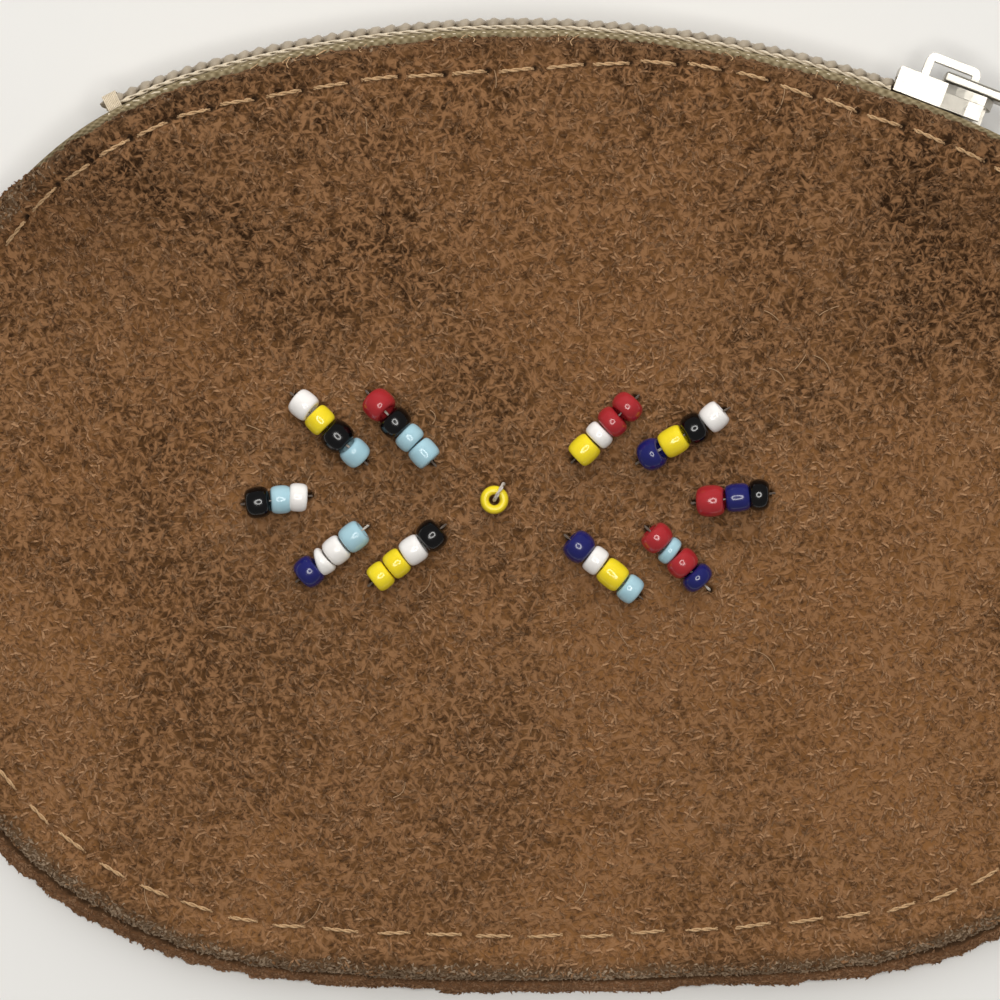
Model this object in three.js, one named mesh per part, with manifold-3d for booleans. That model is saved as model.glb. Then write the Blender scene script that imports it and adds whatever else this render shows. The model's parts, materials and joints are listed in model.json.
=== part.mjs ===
// Suede coin purse: two leather panels sewn together round the sides and bottom, a coil zip along the
// domed top, and short strands of seed beads set out as a burst on the front.
// Millimetres. The purse lies on its back: +X right, +Y towards the zip, +Z out of the beaded front.
// The origin is on the face it rests on, halfway across and halfway up.
import * as THREE from "three";
import { mergeVertices } from "three/addons/utils/BufferGeometryUtils.js";
import Module from "manifold-3d";

// Outline over the back panel and the zip's outer face
const purseWidth = 118;
const purseHeight = 82;
const domeRadius = 98;
const domeShift = -3.2; // the dome's middle lies left of the bottom's middle
const bottomRadius = 270;

// Leather panels
const leather = 1.3;
const frontTrim = 1.2; // the front is cut this much smaller than the back round the sewn edge
const edgeBevel = 1.0; // width of a panel's slanted cut edge
const seamAllowance = 3.2;
const seamGap = 0.3;
const bulge = 1.8; // how far the front swells over the pocket
const bulgeFalloff = 1.5; // power by which the swelling dies away to the seam
const mouthLeft = 38; // the panels stay apart this far round the dome to the left of its middle
const mouthRight = 6; // and this far past the slider to the right
const mouthTaper = 16; // and come together over this length
const panelSpokes = 64;
const frontRings = [0.22, 0.42, 0.62, 0.8, 0.9];

// Zip chain and tape
const chainLeft = 36; // teeth to the left of the dome's middle
const zipStand = 1.4; // the coils stand this far past the leather's edge
const toothPitch = 1.25;
const toothDepth = 0.9;
const toothGap = 0.2;
const coilWidth = 1.7;
const coilHeight = 1.2;
const coilScallop = 0.3; // dip between two turns of a coil
const coilShoulder = 0.3; // how far a turn's sides start below its crown
const tapeThickness = 0.5;
const tapeGap = 1.6; // slot between the two tapes, which the slider's neck runs in
const tapeTail = 9; // how far the tapes run on where the panels come together
const tapeDrop = 5; // how far a tape reaches down inside its panel
const tapeHem = 0.8; // and how far at its ends
const tapeEase = 14; // the reach shortens this far ahead of where the panels come together
const zipLead = 2; // and the zip narrows this far ahead
const tapeLean = 0.8; // the front tape follows the slope of the front
const tapeSeat = 0.15; // coil to tape
const panelSeat = 0.3; // tape to leather
const tapeStep = 3;

// Slider and pull
const sliderStop = 4.4; // from the slider's middle to the right end of the dome's arc
const sliderLength = 8.4;
const sliderMouth = 6.4;
const sliderTail = 5;
const sliderWall = 0.6;
const noseRound = 0.8; // how far the mouth's front bows out
const flareShare = 0.75; // share of the widening that a rail has made halfway to the nose
const plateThickness = 0.8;
const slideClearance = 0.2;
const neckWidth = 1.2;
const neckLength = 3.4;
const neckSetback = 0.4; // from the nose
const bridgeLength = 4.8;
const bridgeWidth = 1.3;
const bridgeWall = 0.7;
const bridgeHeight = 1.5; // clear height under the bridge
const pullLength = 13;
const pullWidth = 4;
const pullThickness = 0.9;
const pullArm = 0.8;
const pullBevel = 0.15;
const pullClearance = 0.25;
const curveSteps = 5;

// Beads and the thread that holds them
const beadDiameter = 2.4;
const beadHole = 0.9;
const beadGap = 0.1;
const beadSides = 9;
const beadSeat = 0.15; // bead to leather
const beadLip = 0.4; // share of the wall, out from the hole, where a bead is longest
const beadShoulder = 0.9; // share of the wall at its shoulders
const shoulderHeight = 0.65; // shoulders' place as a share of half the length
const holeHeight = 0.75; // straight part of the hole, as a share of half the length
const ringBeadLength = 1.5;
const threadDiameter = 0.4;
const threadReach = 0.9; // the thread goes into the leather this far past the last bead
const threadSeat = 0.15;
const threadSides = 6;
const threadSteps = 10;
const loopSteps = 12;
// Thread past the last bead: out as a share of its reach, up as a share of the beads' axis
const threadBend = [[0, 1], [0.55, 0.92], [0.95, 0.5]];
// Thread over the middle bead's rim: out as a share of its radius, up from its crest in diameters
const ringLoop = [[0.2, -0.5], [0.65, 0.35], [1.1, -0.5]];

// Each strand: where its middle lies, which way it runs in degrees, and its beads in order with lengths
const strands = [
  { name: "upper_left_outer", middle: [-19.1, 6.45], bearing: -43,
    beads: [["white", 1.8], ["yellow", 1.7], ["black", 2.1], ["sky", 1.7]] },
  { name: "upper_left_inner", middle: [-13.1, 6.45], bearing: -47,
    beads: [["red", 2], ["black", 1.8], ["sky", 1.5], ["sky", 1.8]] },
  { name: "left", middle: [-23.2, 0.55], bearing: 7,
    beads: [["black", 2], ["sky", 1.7], ["white", 1.5]] },
  { name: "lower_left_outer", middle: [-18.9, -4], bearing: 38,
    beads: [["navy", 1.8], ["white", 1], ["white", 1.6], ["sky", 1.9]] },
  { name: "lower_left_inner", middle: [-12.6, -4.1], bearing: 38.5,
    beads: [["yellow", 1.6], ["yellow", 1.6], ["white", 1.8], ["black", 1.9]] },
  { name: "upper_right_inner", middle: [3.95, 6.4], bearing: -135,
    beads: [["red", 1.7], ["red", 1.6], ["white", 1.3], ["yellow", 2]] },
  { name: "upper_right_outer", middle: [10.4, 5.85], bearing: -149,
    beads: [["white", 1.8], ["black", 1.8], ["yellow", 2.1], ["navy", 1.9]] },
  { name: "right", middle: [14.7, 0.65], bearing: 7,
    beads: [["red", 2.3], ["navy", 2], ["black", 1.7]] },
  { name: "lower_right_inner", middle: [3.8, -5.1], bearing: -39.5,
    beads: [["navy", 2], ["white", 1.4], ["yellow", 2.1], ["sky", 1.5]] },
  { name: "lower_right_outer", middle: [9.9, -4.3], bearing: -44.5,
    beads: [["red", 1.8], ["sky", 1], ["red", 1.8], ["navy", 1.5]] },
];
const ringBead = { middle: [-5.3, 0.55], colour: "yellow", threadBearing: 60 };

// Finishes
const finish = (color, roughness, metalness = 0) =>
  new THREE.MeshStandardMaterial({ color, roughness, metalness });
const suede = finish(0x8a5f38, 0.95);
const nylonCoil = finish(0xa39a86, 0.55);
const cottonTape = finish(0xcdbd9d, 0.9);
const nickel = finish(0xb9b6ae, 0.35, 1);
const sewingThread = finish(0xe6ddcb, 0.8);
const beadGlass = {
  white: finish(0xf0ece6, 0.15),
  yellow: finish(0xefd62a, 0.15),
  black: finish(0x0c0b0d, 0.12),
  sky: finish(0x8fc9dc, 0.15),
  navy: finish(0x1a1f7c, 0.12),
  red: finish(0xb8222e, 0.15),
};

const wasm = await Module();
wasm.setup();
const purse = new THREE.Group();

function addPiece(name, geometry, material, parent = purse) {
  const piece = new THREE.Mesh(geometry, material);
  piece.name = name;
  parent.add(piece);
  return piece;
}

// Closed skin over a row of rings; the ends are capped, or drawn to a point where a pole is given.
function loft(rings, { cap, startPole, endPole }) {
  const count = rings[0].length;
  const points = rings.flat();
  const faces = [];
  for (let ring = 0; ring + 1 < rings.length; ring++) {
    for (let i = 0; i < count; i++) {
      const near = ring * count + i;
      const next = ring * count + ((i + 1) % count);
      faces.push(near, next, next + count, near, next + count, near + count);
    }
  }
  const last = (rings.length - 1) * count;
  for (const [a, b, c] of cap ?? []) {
    faces.push(a, c, b, last + a, last + b, last + c);
  }
  if (startPole) {
    const pole = points.push(startPole) - 1;
    for (let i = 0; i < count; i++) faces.push(pole, (i + 1) % count, i);
  }
  if (endPole) {
    const pole = points.push(endPole) - 1;
    for (let i = 0; i < count; i++) faces.push(pole, last + i, last + ((i + 1) % count));
  }
  return facingOut(new THREE.BufferGeometry().setFromPoints(points).setIndex(faces));
}

// Turns every face round where a closed skin was wound inwards.
function facingOut(geometry) {
  const place = geometry.getAttribute("position");
  const faces = Array.from(geometry.index.array);
  const corner = [0, 1, 2].map(() => new THREE.Vector3());
  let volume = 0;
  for (let f = 0; f < faces.length; f += 3) {
    corner.forEach((point, i) => point.fromBufferAttribute(place, faces[f + i]));
    volume += corner[0].dot(corner[1].cross(corner[2]));
  }
  return volume < 0 ? geometry.setIndex(faces.reverse()) : geometry;
}

// A shape's skin with its seams closed, as positions alone.
function closedSkin(geometry) {
  const bare = geometry.clone();
  bare.deleteAttribute("normal");
  bare.deleteAttribute("uv");
  return mergeVertices(bare);
}

// One solid from several overlapping ones.
function joined(geometries) {
  const solids = geometries.map((geometry) => {
    const merged = closedSkin(geometry);
    return new wasm.Manifold(new wasm.Mesh({
      numProp: 3,
      vertProperties: merged.getAttribute("position").array,
      triVerts: new Uint32Array(merged.index.array),
    }));
  });
  const { vertProperties, triVerts } = solids.reduce((sum, solid) => sum.add(solid)).getMesh();
  return new THREE.BufferGeometry()
    .setAttribute("position", new THREE.BufferAttribute(vertProperties, 3))
    .setIndex(new THREE.BufferAttribute(triVerts, 1));
}

// Outline of dome, round sides and bottom, as arcs that run into each other. domeInset draws in the
// dome, and seamInset the sides and bottom.
function outlineArcs(domeInset, seamInset) {
  const dome = {
    x: domeShift, y: purseHeight / 2 - domeRadius, radius: domeRadius - domeInset,
  };
  const bottom = { x: 0, y: bottomRadius - purseHeight / 2, radius: bottomRadius - seamInset };
  const right = sideArc(dome, bottom, purseWidth / 2 - seamInset);
  const left = sideArc(dome, bottom, seamInset - purseWidth / 2);
  return { dome, right, bottom, left };
}

const bearingTo = (from, to) => Math.atan2(to.y - from.y, to.x - from.x);
const domeTop = Math.PI / 2;

// The outline as one path, clockwise from the dome's middle.
function outlinePath(domeInset, seamInset) {
  const { dome, right, bottom, left } = outlineArcs(domeInset, seamInset);
  return new THREE.Path()
    .absarc(dome.x, dome.y, dome.radius, domeTop, bearingTo(dome, right), true)
    .absarc(right.x, right.y, right.radius, bearingTo(dome, right), bearingTo(bottom, right), true)
    .absarc(bottom.x, bottom.y, bottom.radius, bearingTo(bottom, right), bearingTo(bottom, left), true)
    .absarc(left.x, left.y, left.radius, bearingTo(bottom, left), bearingTo(dome, left), true)
    .absarc(dome.x, dome.y, dome.radius, bearingTo(dome, left), domeTop, true);
}

// The arc that touches dome and bottom from inside and just reaches x = reach. Its radius is halved in
// on until the height at which it touches the dome is the one at which it touches the bottom.
function sideArc(dome, bottom, reach) {
  const lift = (arc, radius) => {
    const span = Math.abs(reach - arc.x);
    return Math.sqrt(arc.radius ** 2 - span ** 2 + 2 * radius * (span - arc.radius));
  };
  let small = 0;
  let large = purseHeight / 2;
  for (let halving = 0; halving < 50; halving++) {
    const radius = (small + large) / 2;
    const domeSide = dome.y + lift(dome, radius);
    const bottomSide = bottom.y - lift(bottom, radius);
    if (domeSide > bottomSide) small = radius;
    else large = radius;
  }
  return { x: reach - Math.sign(reach) * small, y: dome.y + lift(dome, small), radius: small };
}

// Zip levels, measured out from the coils' outer face and across from the middle of the chain
const tapeTop = -coilHeight - tapeSeat;
const tapeBottom = tapeTop - tapeThickness;
const legInside = sliderMouth / 2 + slideClearance;
const legOutside = legInside + tapeThickness;
const mouthDepth = 2 * (legOutside + panelSeat);
const zipLevel = leather + mouthDepth / 2;

const zipPath = outlinePath(0, 0);
const zipPathLength = zipPath.getLength();
const zipArcs = outlineArcs(0, 0);
const sliderAt = domeRadius * (domeTop - bearingTo(zipArcs.dome, zipArcs.right)) - sliderStop;

// How far apart the panels are, from 1 along the zip to 0 at the seam, by the length along the edge
// from the dome's middle.
function mouthOpen(along) {
  const start = along > 0 ? sliderAt + mouthRight : mouthLeft;
  return 1 - THREE.MathUtils.smoothstep(Math.abs(along), start, start + mouthTaper);
}
const panelsApart = (along) => seamGap + (mouthDepth - seamGap) * mouthOpen(along);

// A point of the zip: along it from the dome's middle, out from the coils' face, across the chain.
// Where the panels come together the zip is pressed flat between them.
function zipPoint(along, out, across) {
  const share = ((along + zipPathLength) % zipPathLength) / zipPathLength;
  const point = zipPath.getPoint(share);
  const tangent = zipPath.getTangent(share);
  const room = panelsApart(along + Math.sign(along) * zipLead);
  return new THREE.Vector3(
    point.x - tangent.y * out,
    point.y + tangent.x * out,
    leather + room * (0.5 + across / mouthDepth),
  );
}

// Values given round a rim, carried inwards as a stretched film takes them: each harmonic of the rim
// dies away with its own power of the share of the way out from the middle.
function filmOver(rim) {
  const count = rim.length;
  const waves = [];
  for (let order = 0; order < count / 2; order++) {
    const weight = order === 0 ? 1 / count : 2 / count;
    const sum = (wave) => weight * rim.reduce((total, value, i) =>
      total + value * wave((order * i * 2 * Math.PI) / count), 0);
    waves.push({ order, cos: sum(Math.cos), sin: sum(Math.sin) });
  }
  return (turn, share) => waves.reduce((total, { order, cos, sin }) =>
    total + share ** order * (cos * Math.cos(order * turn) + sin * Math.sin(order * turn)), 0);
}

// A panel's outline as spokes from its middle.
function spokesOf(path) {
  const middle = new THREE.Vector2(0, 0);
  const tips = path.getSpacedPoints(panelSpokes).slice(0, panelSpokes);
  return (share, level) => tips.map((tip, i) => {
    const flat = middle.clone().lerp(tip, share);
    return new THREE.Vector3(flat.x, flat.y, level((i * 2 * Math.PI) / panelSpokes, share));
  });
}

// A sheet of leather: rings of its upper face out to the slanted edge, then its lower face back in.
function panel(path, lowerLevel, rings) {
  const ringAt = spokesOf(path);
  const upperLevel = (turn, share) => lowerLevel(turn, share) + leather;
  const drawnIn = 1 - edgeBevel / (purseHeight / 2);
  const upper = [...rings, drawnIn].map((share) => ringAt(share, upperLevel));
  const lower = [...rings, 1].map((share) => ringAt(share, lowerLevel));
  return loft([...upper, ...lower.reverse()], {
    startPole: new THREE.Vector3(0, 0, upperLevel(0, 0)),
    endPole: new THREE.Vector3(0, 0, lowerLevel(0, 0)),
  });
}

function frontPanel() {
  const path = outlinePath(zipStand, frontTrim);
  const length = path.getLength();
  const rim = Array.from({ length: panelSpokes }, (_, i) => {
    const along = (i / panelSpokes) * length;
    return panelsApart(along < length / 2 ? along : along - length);
  });
  const film = filmOver(rim);
  const flatFrom = 1 - seamAllowance / (purseHeight / 2);
  const pocket = (turn, share) => {
    const inner = Math.min(1, share / flatFrom);
    return leather + film(turn, inner) + bulge * (1 - inner ** 2) ** bulgeFalloff;
  };
  return panel(path, pocket, frontRings);
}

const backPanel = () => panel(outlinePath(zipStand, 0), () => 0, []);

// A tape lies under its coil, turns down at the slider's side and runs on along the leather.
function zipTape(side) {
  const lean = side > 0 ? tapeLean : 0;
  const sectionAt = (along) => {
    const full = mouthOpen(along + Math.sign(along) * tapeEase);
    const foot = tapeBottom - THREE.MathUtils.lerp(tapeHem, tapeDrop, full);
    return [
      [tapeTop, tapeGap / 2],
      [tapeTop, legInside],
      [tapeBottom, legOutside],
      [foot, legOutside - lean * full],
      [foot, legInside - lean * full],
      [tapeBottom, legInside],
      [tapeBottom, tapeGap / 2],
    ];
  };
  const from = -mouthLeft - tapeTail;
  const to = sliderAt + mouthRight + tapeTail;
  const steps = Math.ceil((to - from) / tapeStep);
  const rings = Array.from({ length: steps + 1 }, (_, i) => {
    const along = from + ((to - from) * i) / steps;
    return sectionAt(along).map(([out, across]) => zipPoint(along, out, side * across));
  });
  const flat = sectionAt(0).map(([out, across]) => new THREE.Vector2(out, across));
  return loft(rings, { cap: THREE.ShapeUtils.triangulateShape(flat, []) });
}

// A coil is a row of turns, high and reaching over the middle at each tooth, low and drawn back between
// two teeth. The other side's teeth lie half a pitch on, so the two rows mesh.
function zipCoil(side) {
  const tip = (toothGap - toothDepth) / 2;
  const root = (toothGap + toothDepth) / 2;
  const end = sliderAt;
  const halfPitch = toothPitch / 2;
  const turns = Math.floor((end + chainLeft) / toothPitch);
  const rings = Array.from({ length: 2 * turns }, (_, i) => {
    const tooth = (i % 2 === 0) === (side > 0);
    const inner = tooth ? tip : root;
    const crown = tooth ? 0 : -coilScallop;
    const shoulder = crown - coilShoulder;
    const section = [
      [-coilHeight, inner],
      [shoulder, inner],
      [crown, (inner + coilWidth) / 2],
      [shoulder, coilWidth + crown / 2],
      [-coilHeight, coilWidth + crown / 2],
    ];
    return section.map(([out, across]) => zipPoint(end - (i + 1) * halfPitch, out, side * across));
  });
  return loft(rings, { cap: [[0, 1, 2], [0, 2, 3], [0, 3, 4]] });
}

// A flat shape seen from outside the zip, along and across, thickened outwards from a level.
function plate(shape, from, to, options = {}) {
  return new THREE.ExtrudeGeometry(shape, { depth: to - from, bevelEnabled: false, ...options })
    .rotateX(-Math.PI / 2)
    .translate(0, from, 0);
}

const wingTop = slideClearance + plateThickness;
const wingMiddle = slideClearance + plateThickness / 2;
const innerPlateTop = tapeBottom - slideClearance;
const innerPlateMiddle = innerPlateTop - plateThickness / 2;

// Slider plate: a rounded mouth in front, narrowing to the tail.
function sliderPlate(drawnIn = 0) {
  const nose = sliderLength / 2;
  const mouth = sliderMouth / 2 - drawnIn;
  const tail = sliderTail / 2 - drawnIn;
  const shape = new THREE.Shape();
  shape.moveTo(-nose, -tail);
  shape.lineTo(0, -tail);
  shape.quadraticCurveTo(nose / 2, -mouth, nose - noseRound, -mouth);
  shape.quadraticCurveTo(nose + noseRound, 0, nose - noseRound, mouth);
  shape.quadraticCurveTo(nose / 2, mouth, 0, tail);
  shape.lineTo(-nose, tail);
  return shape;
}

// Rail that keeps one row of teeth in the slider.
function sliderRail(side) {
  const nose = sliderLength / 2;
  const tail = sliderTail / 2;
  const mouth = sliderMouth / 2;
  const front = nose - noseRound;
  const shape = new THREE.Shape();
  shape.moveTo(-nose, side * tail);
  shape.lineTo(0, side * tail);
  shape.lineTo(nose / 2, side * THREE.MathUtils.lerp(tail, mouth, flareShare));
  shape.lineTo(front, side * mouth);
  shape.lineTo(front, side * (mouth - sliderWall));
  shape.lineTo(0, side * (tail - sliderWall));
  shape.lineTo(-nose, side * (tail - sliderWall));
  return shape;
}

// Neck that holds the two plates together and parts the teeth: a wedge that points to the tail.
function sliderNeck() {
  const front = sliderLength / 2 - neckSetback;
  const half = neckWidth / 2;
  return new THREE.Shape([
    new THREE.Vector2(front - neckLength, 0),
    new THREE.Vector2(front - neckLength / 2, -half),
    new THREE.Vector2(front, -half),
    new THREE.Vector2(front, half),
    new THREE.Vector2(front - neckLength / 2, half),
  ]);
}

// Bridge over the pull's bar, seen from the side.
function sliderBridge() {
  const foot = bridgeLength / 2;
  const top = bridgeHeight + bridgeWall;
  const sunk = -plateThickness / 2;
  const shape = new THREE.Shape();
  shape.moveTo(-foot, sunk);
  shape.lineTo(-foot, top / 2);
  shape.quadraticCurveTo(-foot, top, bridgeWall - foot, top);
  shape.lineTo(foot - bridgeWall, top);
  shape.quadraticCurveTo(foot, top, foot, top / 2);
  shape.lineTo(foot, sunk);
  shape.lineTo(foot - bridgeWall, sunk);
  shape.lineTo(foot - bridgeWall, bridgeHeight);
  shape.lineTo(bridgeWall - foot, bridgeHeight);
  shape.lineTo(bridgeWall - foot, sunk);
  const arch = { depth: bridgeWidth, bevelEnabled: false, curveSegments: curveSteps };
  return new THREE.ExtrudeGeometry(shape, arch).translate(0, wingTop, -bridgeWidth / 2);
}

function sliderBody() {
  const railFoot = tapeTop + slideClearance;
  const rounded = { curveSegments: curveSteps };
  return joined([
    plate(sliderPlate(), slideClearance, wingTop, rounded),
    plate(sliderRail(1), railFoot, wingMiddle),
    plate(sliderRail(-1), railFoot, wingMiddle),
    plate(sliderNeck(), innerPlateMiddle, wingMiddle),
    plate(sliderPlate(slideClearance), innerPlateTop - plateThickness, innerPlateTop, rounded),
    sliderBridge(),
  ]);
}

// Pull: two arms joined by a bar under the bridge, widening to a rounded tab. The bar is at the origin.
function pullTab() {
  const bar = pullThickness / 2;
  const slotHalf = bridgeWidth / 2 + pullClearance;
  const headHalf = slotHalf + pullArm;
  const slotEnd = bridgeLength / 2 + bridgeWall;
  const tabHalf = pullWidth / 2;
  const reach = pullLength - bar;
  const shape = new THREE.Shape();
  shape.moveTo(-bar, -headHalf);
  shape.lineTo(slotEnd, -headHalf);
  shape.lineTo(reach - tabHalf, -tabHalf);
  shape.absarc(reach - tabHalf, 0, tabHalf, -Math.PI / 2, Math.PI / 2, false);
  shape.lineTo(slotEnd, headHalf);
  shape.lineTo(-bar, headHalf);
  shape.holes.push(new THREE.Path([
    new THREE.Vector2(bar, -slotHalf),
    new THREE.Vector2(bar, slotHalf),
    new THREE.Vector2(slotEnd, slotHalf),
    new THREE.Vector2(slotEnd, -slotHalf),
  ]));
  return plate(shape, -bar + pullBevel, bar - pullBevel, {
    curveSegments: curveSteps,
    bevelEnabled: true,
    bevelSegments: 1,
    bevelSize: pullBevel,
    bevelOffset: -pullBevel,
    bevelThickness: pullBevel,
  }).translate(0, -pullBevel, 0);
}

// Seed bead about the Y axis: a drawn tube with its ends melted round.
function beadShape(length) {
  const outer = beadDiameter / 2;
  const hole = beadHole / 2;
  const half = length / 2;
  const lip = THREE.MathUtils.lerp(hole, outer, beadLip);
  const shoulder = THREE.MathUtils.lerp(hole, outer, beadShoulder);
  const profile = [
    [hole, holeHeight * half],
    [hole, -holeHeight * half],
    [lip, -half],
    [shoulder, -shoulderHeight * half],
    [outer, 0],
    [shoulder, shoulderHeight * half],
    [lip, half],
    [hole, holeHeight * half],
  ].map(([radius, height]) => new THREE.Vector2(radius, height));
  return facingOut(closedSkin(new THREE.LatheGeometry(profile, beadSides)));
}

// Thread along a list of points.
function threadAlong(points, steps) {
  const section = new THREE.Shape().absarc(0, 0, threadDiameter / 2, 0, 2 * Math.PI, false);
  return new THREE.ExtrudeGeometry(section, {
    steps,
    curveSegments: threadSides / 2,
    extrudePath: new THREE.CatmullRomCurve3(points, false, "centripetal"),
  });
}

// Height of the front's leather under a point, found by looking straight down on it.
function leatherUnder(front, x, y) {
  const above = new THREE.Vector3(x, y, purseHeight);
  const down = new THREE.Vector3(0, 0, -1);
  return new THREE.Raycaster(above, down).intersectObject(front)[0].point.z;
}

// A strand lies straight along the leather, its thread going into the leather past each end.
function addStrand({ name, middle, bearing, beads }, front) {
  const angle = THREE.MathUtils.degToRad(bearing);
  const length = beads.reduce((sum, [, bead]) => sum + bead + beadGap, -beadGap);
  const at = (along, up) => {
    const x = middle[0] + along * Math.cos(angle);
    const y = middle[1] + along * Math.sin(angle);
    return new THREE.Vector3(x, y, leatherUnder(front, x, y) + up);
  };
  const axisUp = beadSeat + beadDiameter / 2;
  const direction = at(length / 2, axisUp).sub(at(-length / 2, axisUp)).normalize();
  const lieAlong = new THREE.Quaternion().setFromUnitVectors(new THREE.Vector3(0, 1, 0), direction);
  let along = -length / 2;
  beads.forEach(([colour, bead], i) => {
    const piece = addPiece(`bead_${name}_${i + 1}_${colour}`, beadShape(bead), beadGlass[colour]);
    piece.position.copy(at(along + bead / 2, axisUp));
    piece.quaternion.copy(lieAlong);
    along += bead + beadGap;
  });
  const past = (share) => length / 2 + share * threadReach;
  const end = (side) => [
    ...threadBend.map(([out, up]) => at(side * past(out), axisUp * up)),
    at(side * past(1), threadSeat),
  ];
  const route = [...end(-1).reverse(), ...end(1)];
  addPiece(`thread_${name}`, threadAlong(route, threadSteps), sewingThread);
}

// The single bead in the middle lies flat, held by a thread that comes up its hole and over its rim.
function addRingBead({ middle, colour, threadBearing }, front) {
  const level = leatherUnder(front, ...middle) + beadSeat;
  const bead = addPiece(`bead_centre_${colour}`, beadShape(ringBeadLength), beadGlass[colour]);
  bead.position.set(...middle, level + ringBeadLength / 2);
  bead.rotation.x = Math.PI / 2;
  const outer = beadDiameter / 2;
  const over = level + ringBeadLength + threadDiameter;
  const side = outer + threadDiameter;
  const foot = level - beadSeat + threadSeat;
  const path = [
    [0, foot],
    [0, level + ringBeadLength / 2],
    ...ringLoop.map(([out, up]) => [out * outer, over + up * threadDiameter]),
    [side, level + ringBeadLength / 2],
    [side, foot + threadDiameter],
  ].map(([out, height]) => new THREE.Vector3(out, 0, height));
  const loop = addPiece("thread_centre", threadAlong(path, loopSteps), sewingThread);
  loop.position.set(...middle, 0);
  loop.rotation.z = THREE.MathUtils.degToRad(threadBearing);
}

addPiece("back_panel", backPanel(), suede);
const front = addPiece("front_panel", frontPanel(), suede);
addPiece("front_zip_tape", zipTape(1), cottonTape);
addPiece("back_zip_tape", zipTape(-1), cottonTape);
addPiece("front_zip_coil", zipCoil(1), nylonCoil);
addPiece("back_zip_coil", zipCoil(-1), nylonCoil);

const runner = new THREE.Group();
runner.position.set(domeShift, purseHeight / 2 - domeRadius, zipLevel);
runner.rotation.z = -sliderAt / domeRadius;
const slider = addPiece("zip_slider", sliderBody(), nickel, runner);
slider.position.y = domeRadius;
const pull = addPiece("zip_pull", pullTab(), nickel, runner);
pull.position.y = domeRadius + wingTop + bridgeHeight / 2;
purse.add(runner);

strands.forEach((strand) => addStrand(strand, front));
addRingBead(ringBead, front);

export default purse;
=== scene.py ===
# %% [markdown]
# # A beaded coin purse
# The purse is two sheets of brown suede, sewn together round the sides and bottom, with a coil zip along
# the domed top. Short strands of glass seed beads make a burst on the front.
# The imported model is the fixed frame: it gives every piece its size and place. This lesson dresses it,
# from the leather out to the beads. It is loaded first.

# %% Load the imported purse
import json
import math
import random

import bmesh
import bpy
from mathutils import Matrix, Vector, noise
from mathutils.bvhtree import BVHTree
from mathutils.kdtree import KDTree

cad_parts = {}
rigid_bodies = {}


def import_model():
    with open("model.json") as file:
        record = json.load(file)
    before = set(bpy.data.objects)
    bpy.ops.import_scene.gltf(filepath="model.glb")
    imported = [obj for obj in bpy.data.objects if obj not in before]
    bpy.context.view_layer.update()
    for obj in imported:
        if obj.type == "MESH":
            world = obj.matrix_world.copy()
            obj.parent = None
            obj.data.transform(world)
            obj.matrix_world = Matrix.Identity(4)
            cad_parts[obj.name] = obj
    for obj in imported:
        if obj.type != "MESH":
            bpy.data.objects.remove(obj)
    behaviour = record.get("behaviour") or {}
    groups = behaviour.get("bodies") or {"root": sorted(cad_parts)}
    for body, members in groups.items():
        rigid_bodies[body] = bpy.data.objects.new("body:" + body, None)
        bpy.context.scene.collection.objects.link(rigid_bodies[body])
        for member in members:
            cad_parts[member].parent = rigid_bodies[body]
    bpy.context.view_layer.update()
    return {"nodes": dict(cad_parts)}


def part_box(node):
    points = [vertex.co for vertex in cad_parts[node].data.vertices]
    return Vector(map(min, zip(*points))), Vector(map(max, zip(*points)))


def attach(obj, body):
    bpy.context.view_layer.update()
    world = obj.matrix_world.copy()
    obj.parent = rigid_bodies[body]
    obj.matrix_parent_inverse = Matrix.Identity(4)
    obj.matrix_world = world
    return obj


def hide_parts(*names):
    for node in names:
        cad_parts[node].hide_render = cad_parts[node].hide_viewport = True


MM = 0.001
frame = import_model()
nodes = frame["nodes"]
scene = bpy.context.scene

# %% [markdown]
# The photo looks straight down on the purse. A long lens from half a metre keeps the top and bottom edges
# as the photo shows them: a little of the zip past the leather, and the cut edges below the seam.
# The lens follows from the width of leather that the picture takes in at that distance.

# %% Camera
VIEW_CENTRE = Vector((-4.83, 0.5, 5.0)) * MM
VIEW_DISTANCE = 495 * MM
VIEW_WIDTH = 84 * MM
SENSOR_WIDTH = 36

camera = bpy.data.cameras.new("overhead")
camera.sensor_width = SENSOR_WIDTH
camera.lens = SENSOR_WIDTH * VIEW_DISTANCE / VIEW_WIDTH
overhead = bpy.data.objects.new("overhead", camera)
overhead.location = VIEW_CENTRE + Vector((0, 0, VIEW_DISTANCE))
scene.collection.objects.link(overhead)
scene.camera = overhead
scene.view_settings.view_transform = "Standard"
print("lens in mm:", round(camera.lens))

# %% [markdown]
# Materials are node trees. Small helpers keep them readable: `node` adds a shader node with its settings
# and inputs, and `paint` turns a colour as seen on a screen into the linear values that Blender works with.
# Each of the others stands for one step of a finish: a noise, a change of range, a sum, a mix of two
# colours, a bump. Most of a noise's values lie inside `NOISE_BAND`.

# %% Material helpers
NOISE_BAND = (0.3, 0.7)
MIX_INPUTS = (6, 7)
MIX_RESULT = 2


def feed(tree, socket, value):
    if isinstance(value, bpy.types.NodeSocket):
        tree.links.new(value, socket)
    else:
        socket.default_value = value


def node(tree, kind, inputs=None, **settings):
    made = tree.nodes.new(kind)
    for name, value in settings.items():
        setattr(made, name, value)
    for name, value in (inputs or {}).items():
        usable = [s for s in made.inputs if s.name == name and s.enabled]
        feed(tree, usable[0], value)
    return made


def paint(red, green, blue):
    seen = (red / 255, green / 255, blue / 255)
    return (*[(c / 12.92 if c < 0.04045 else ((c + 0.055) / 1.055) ** 2.4) for c in seen], 1.0)


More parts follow.
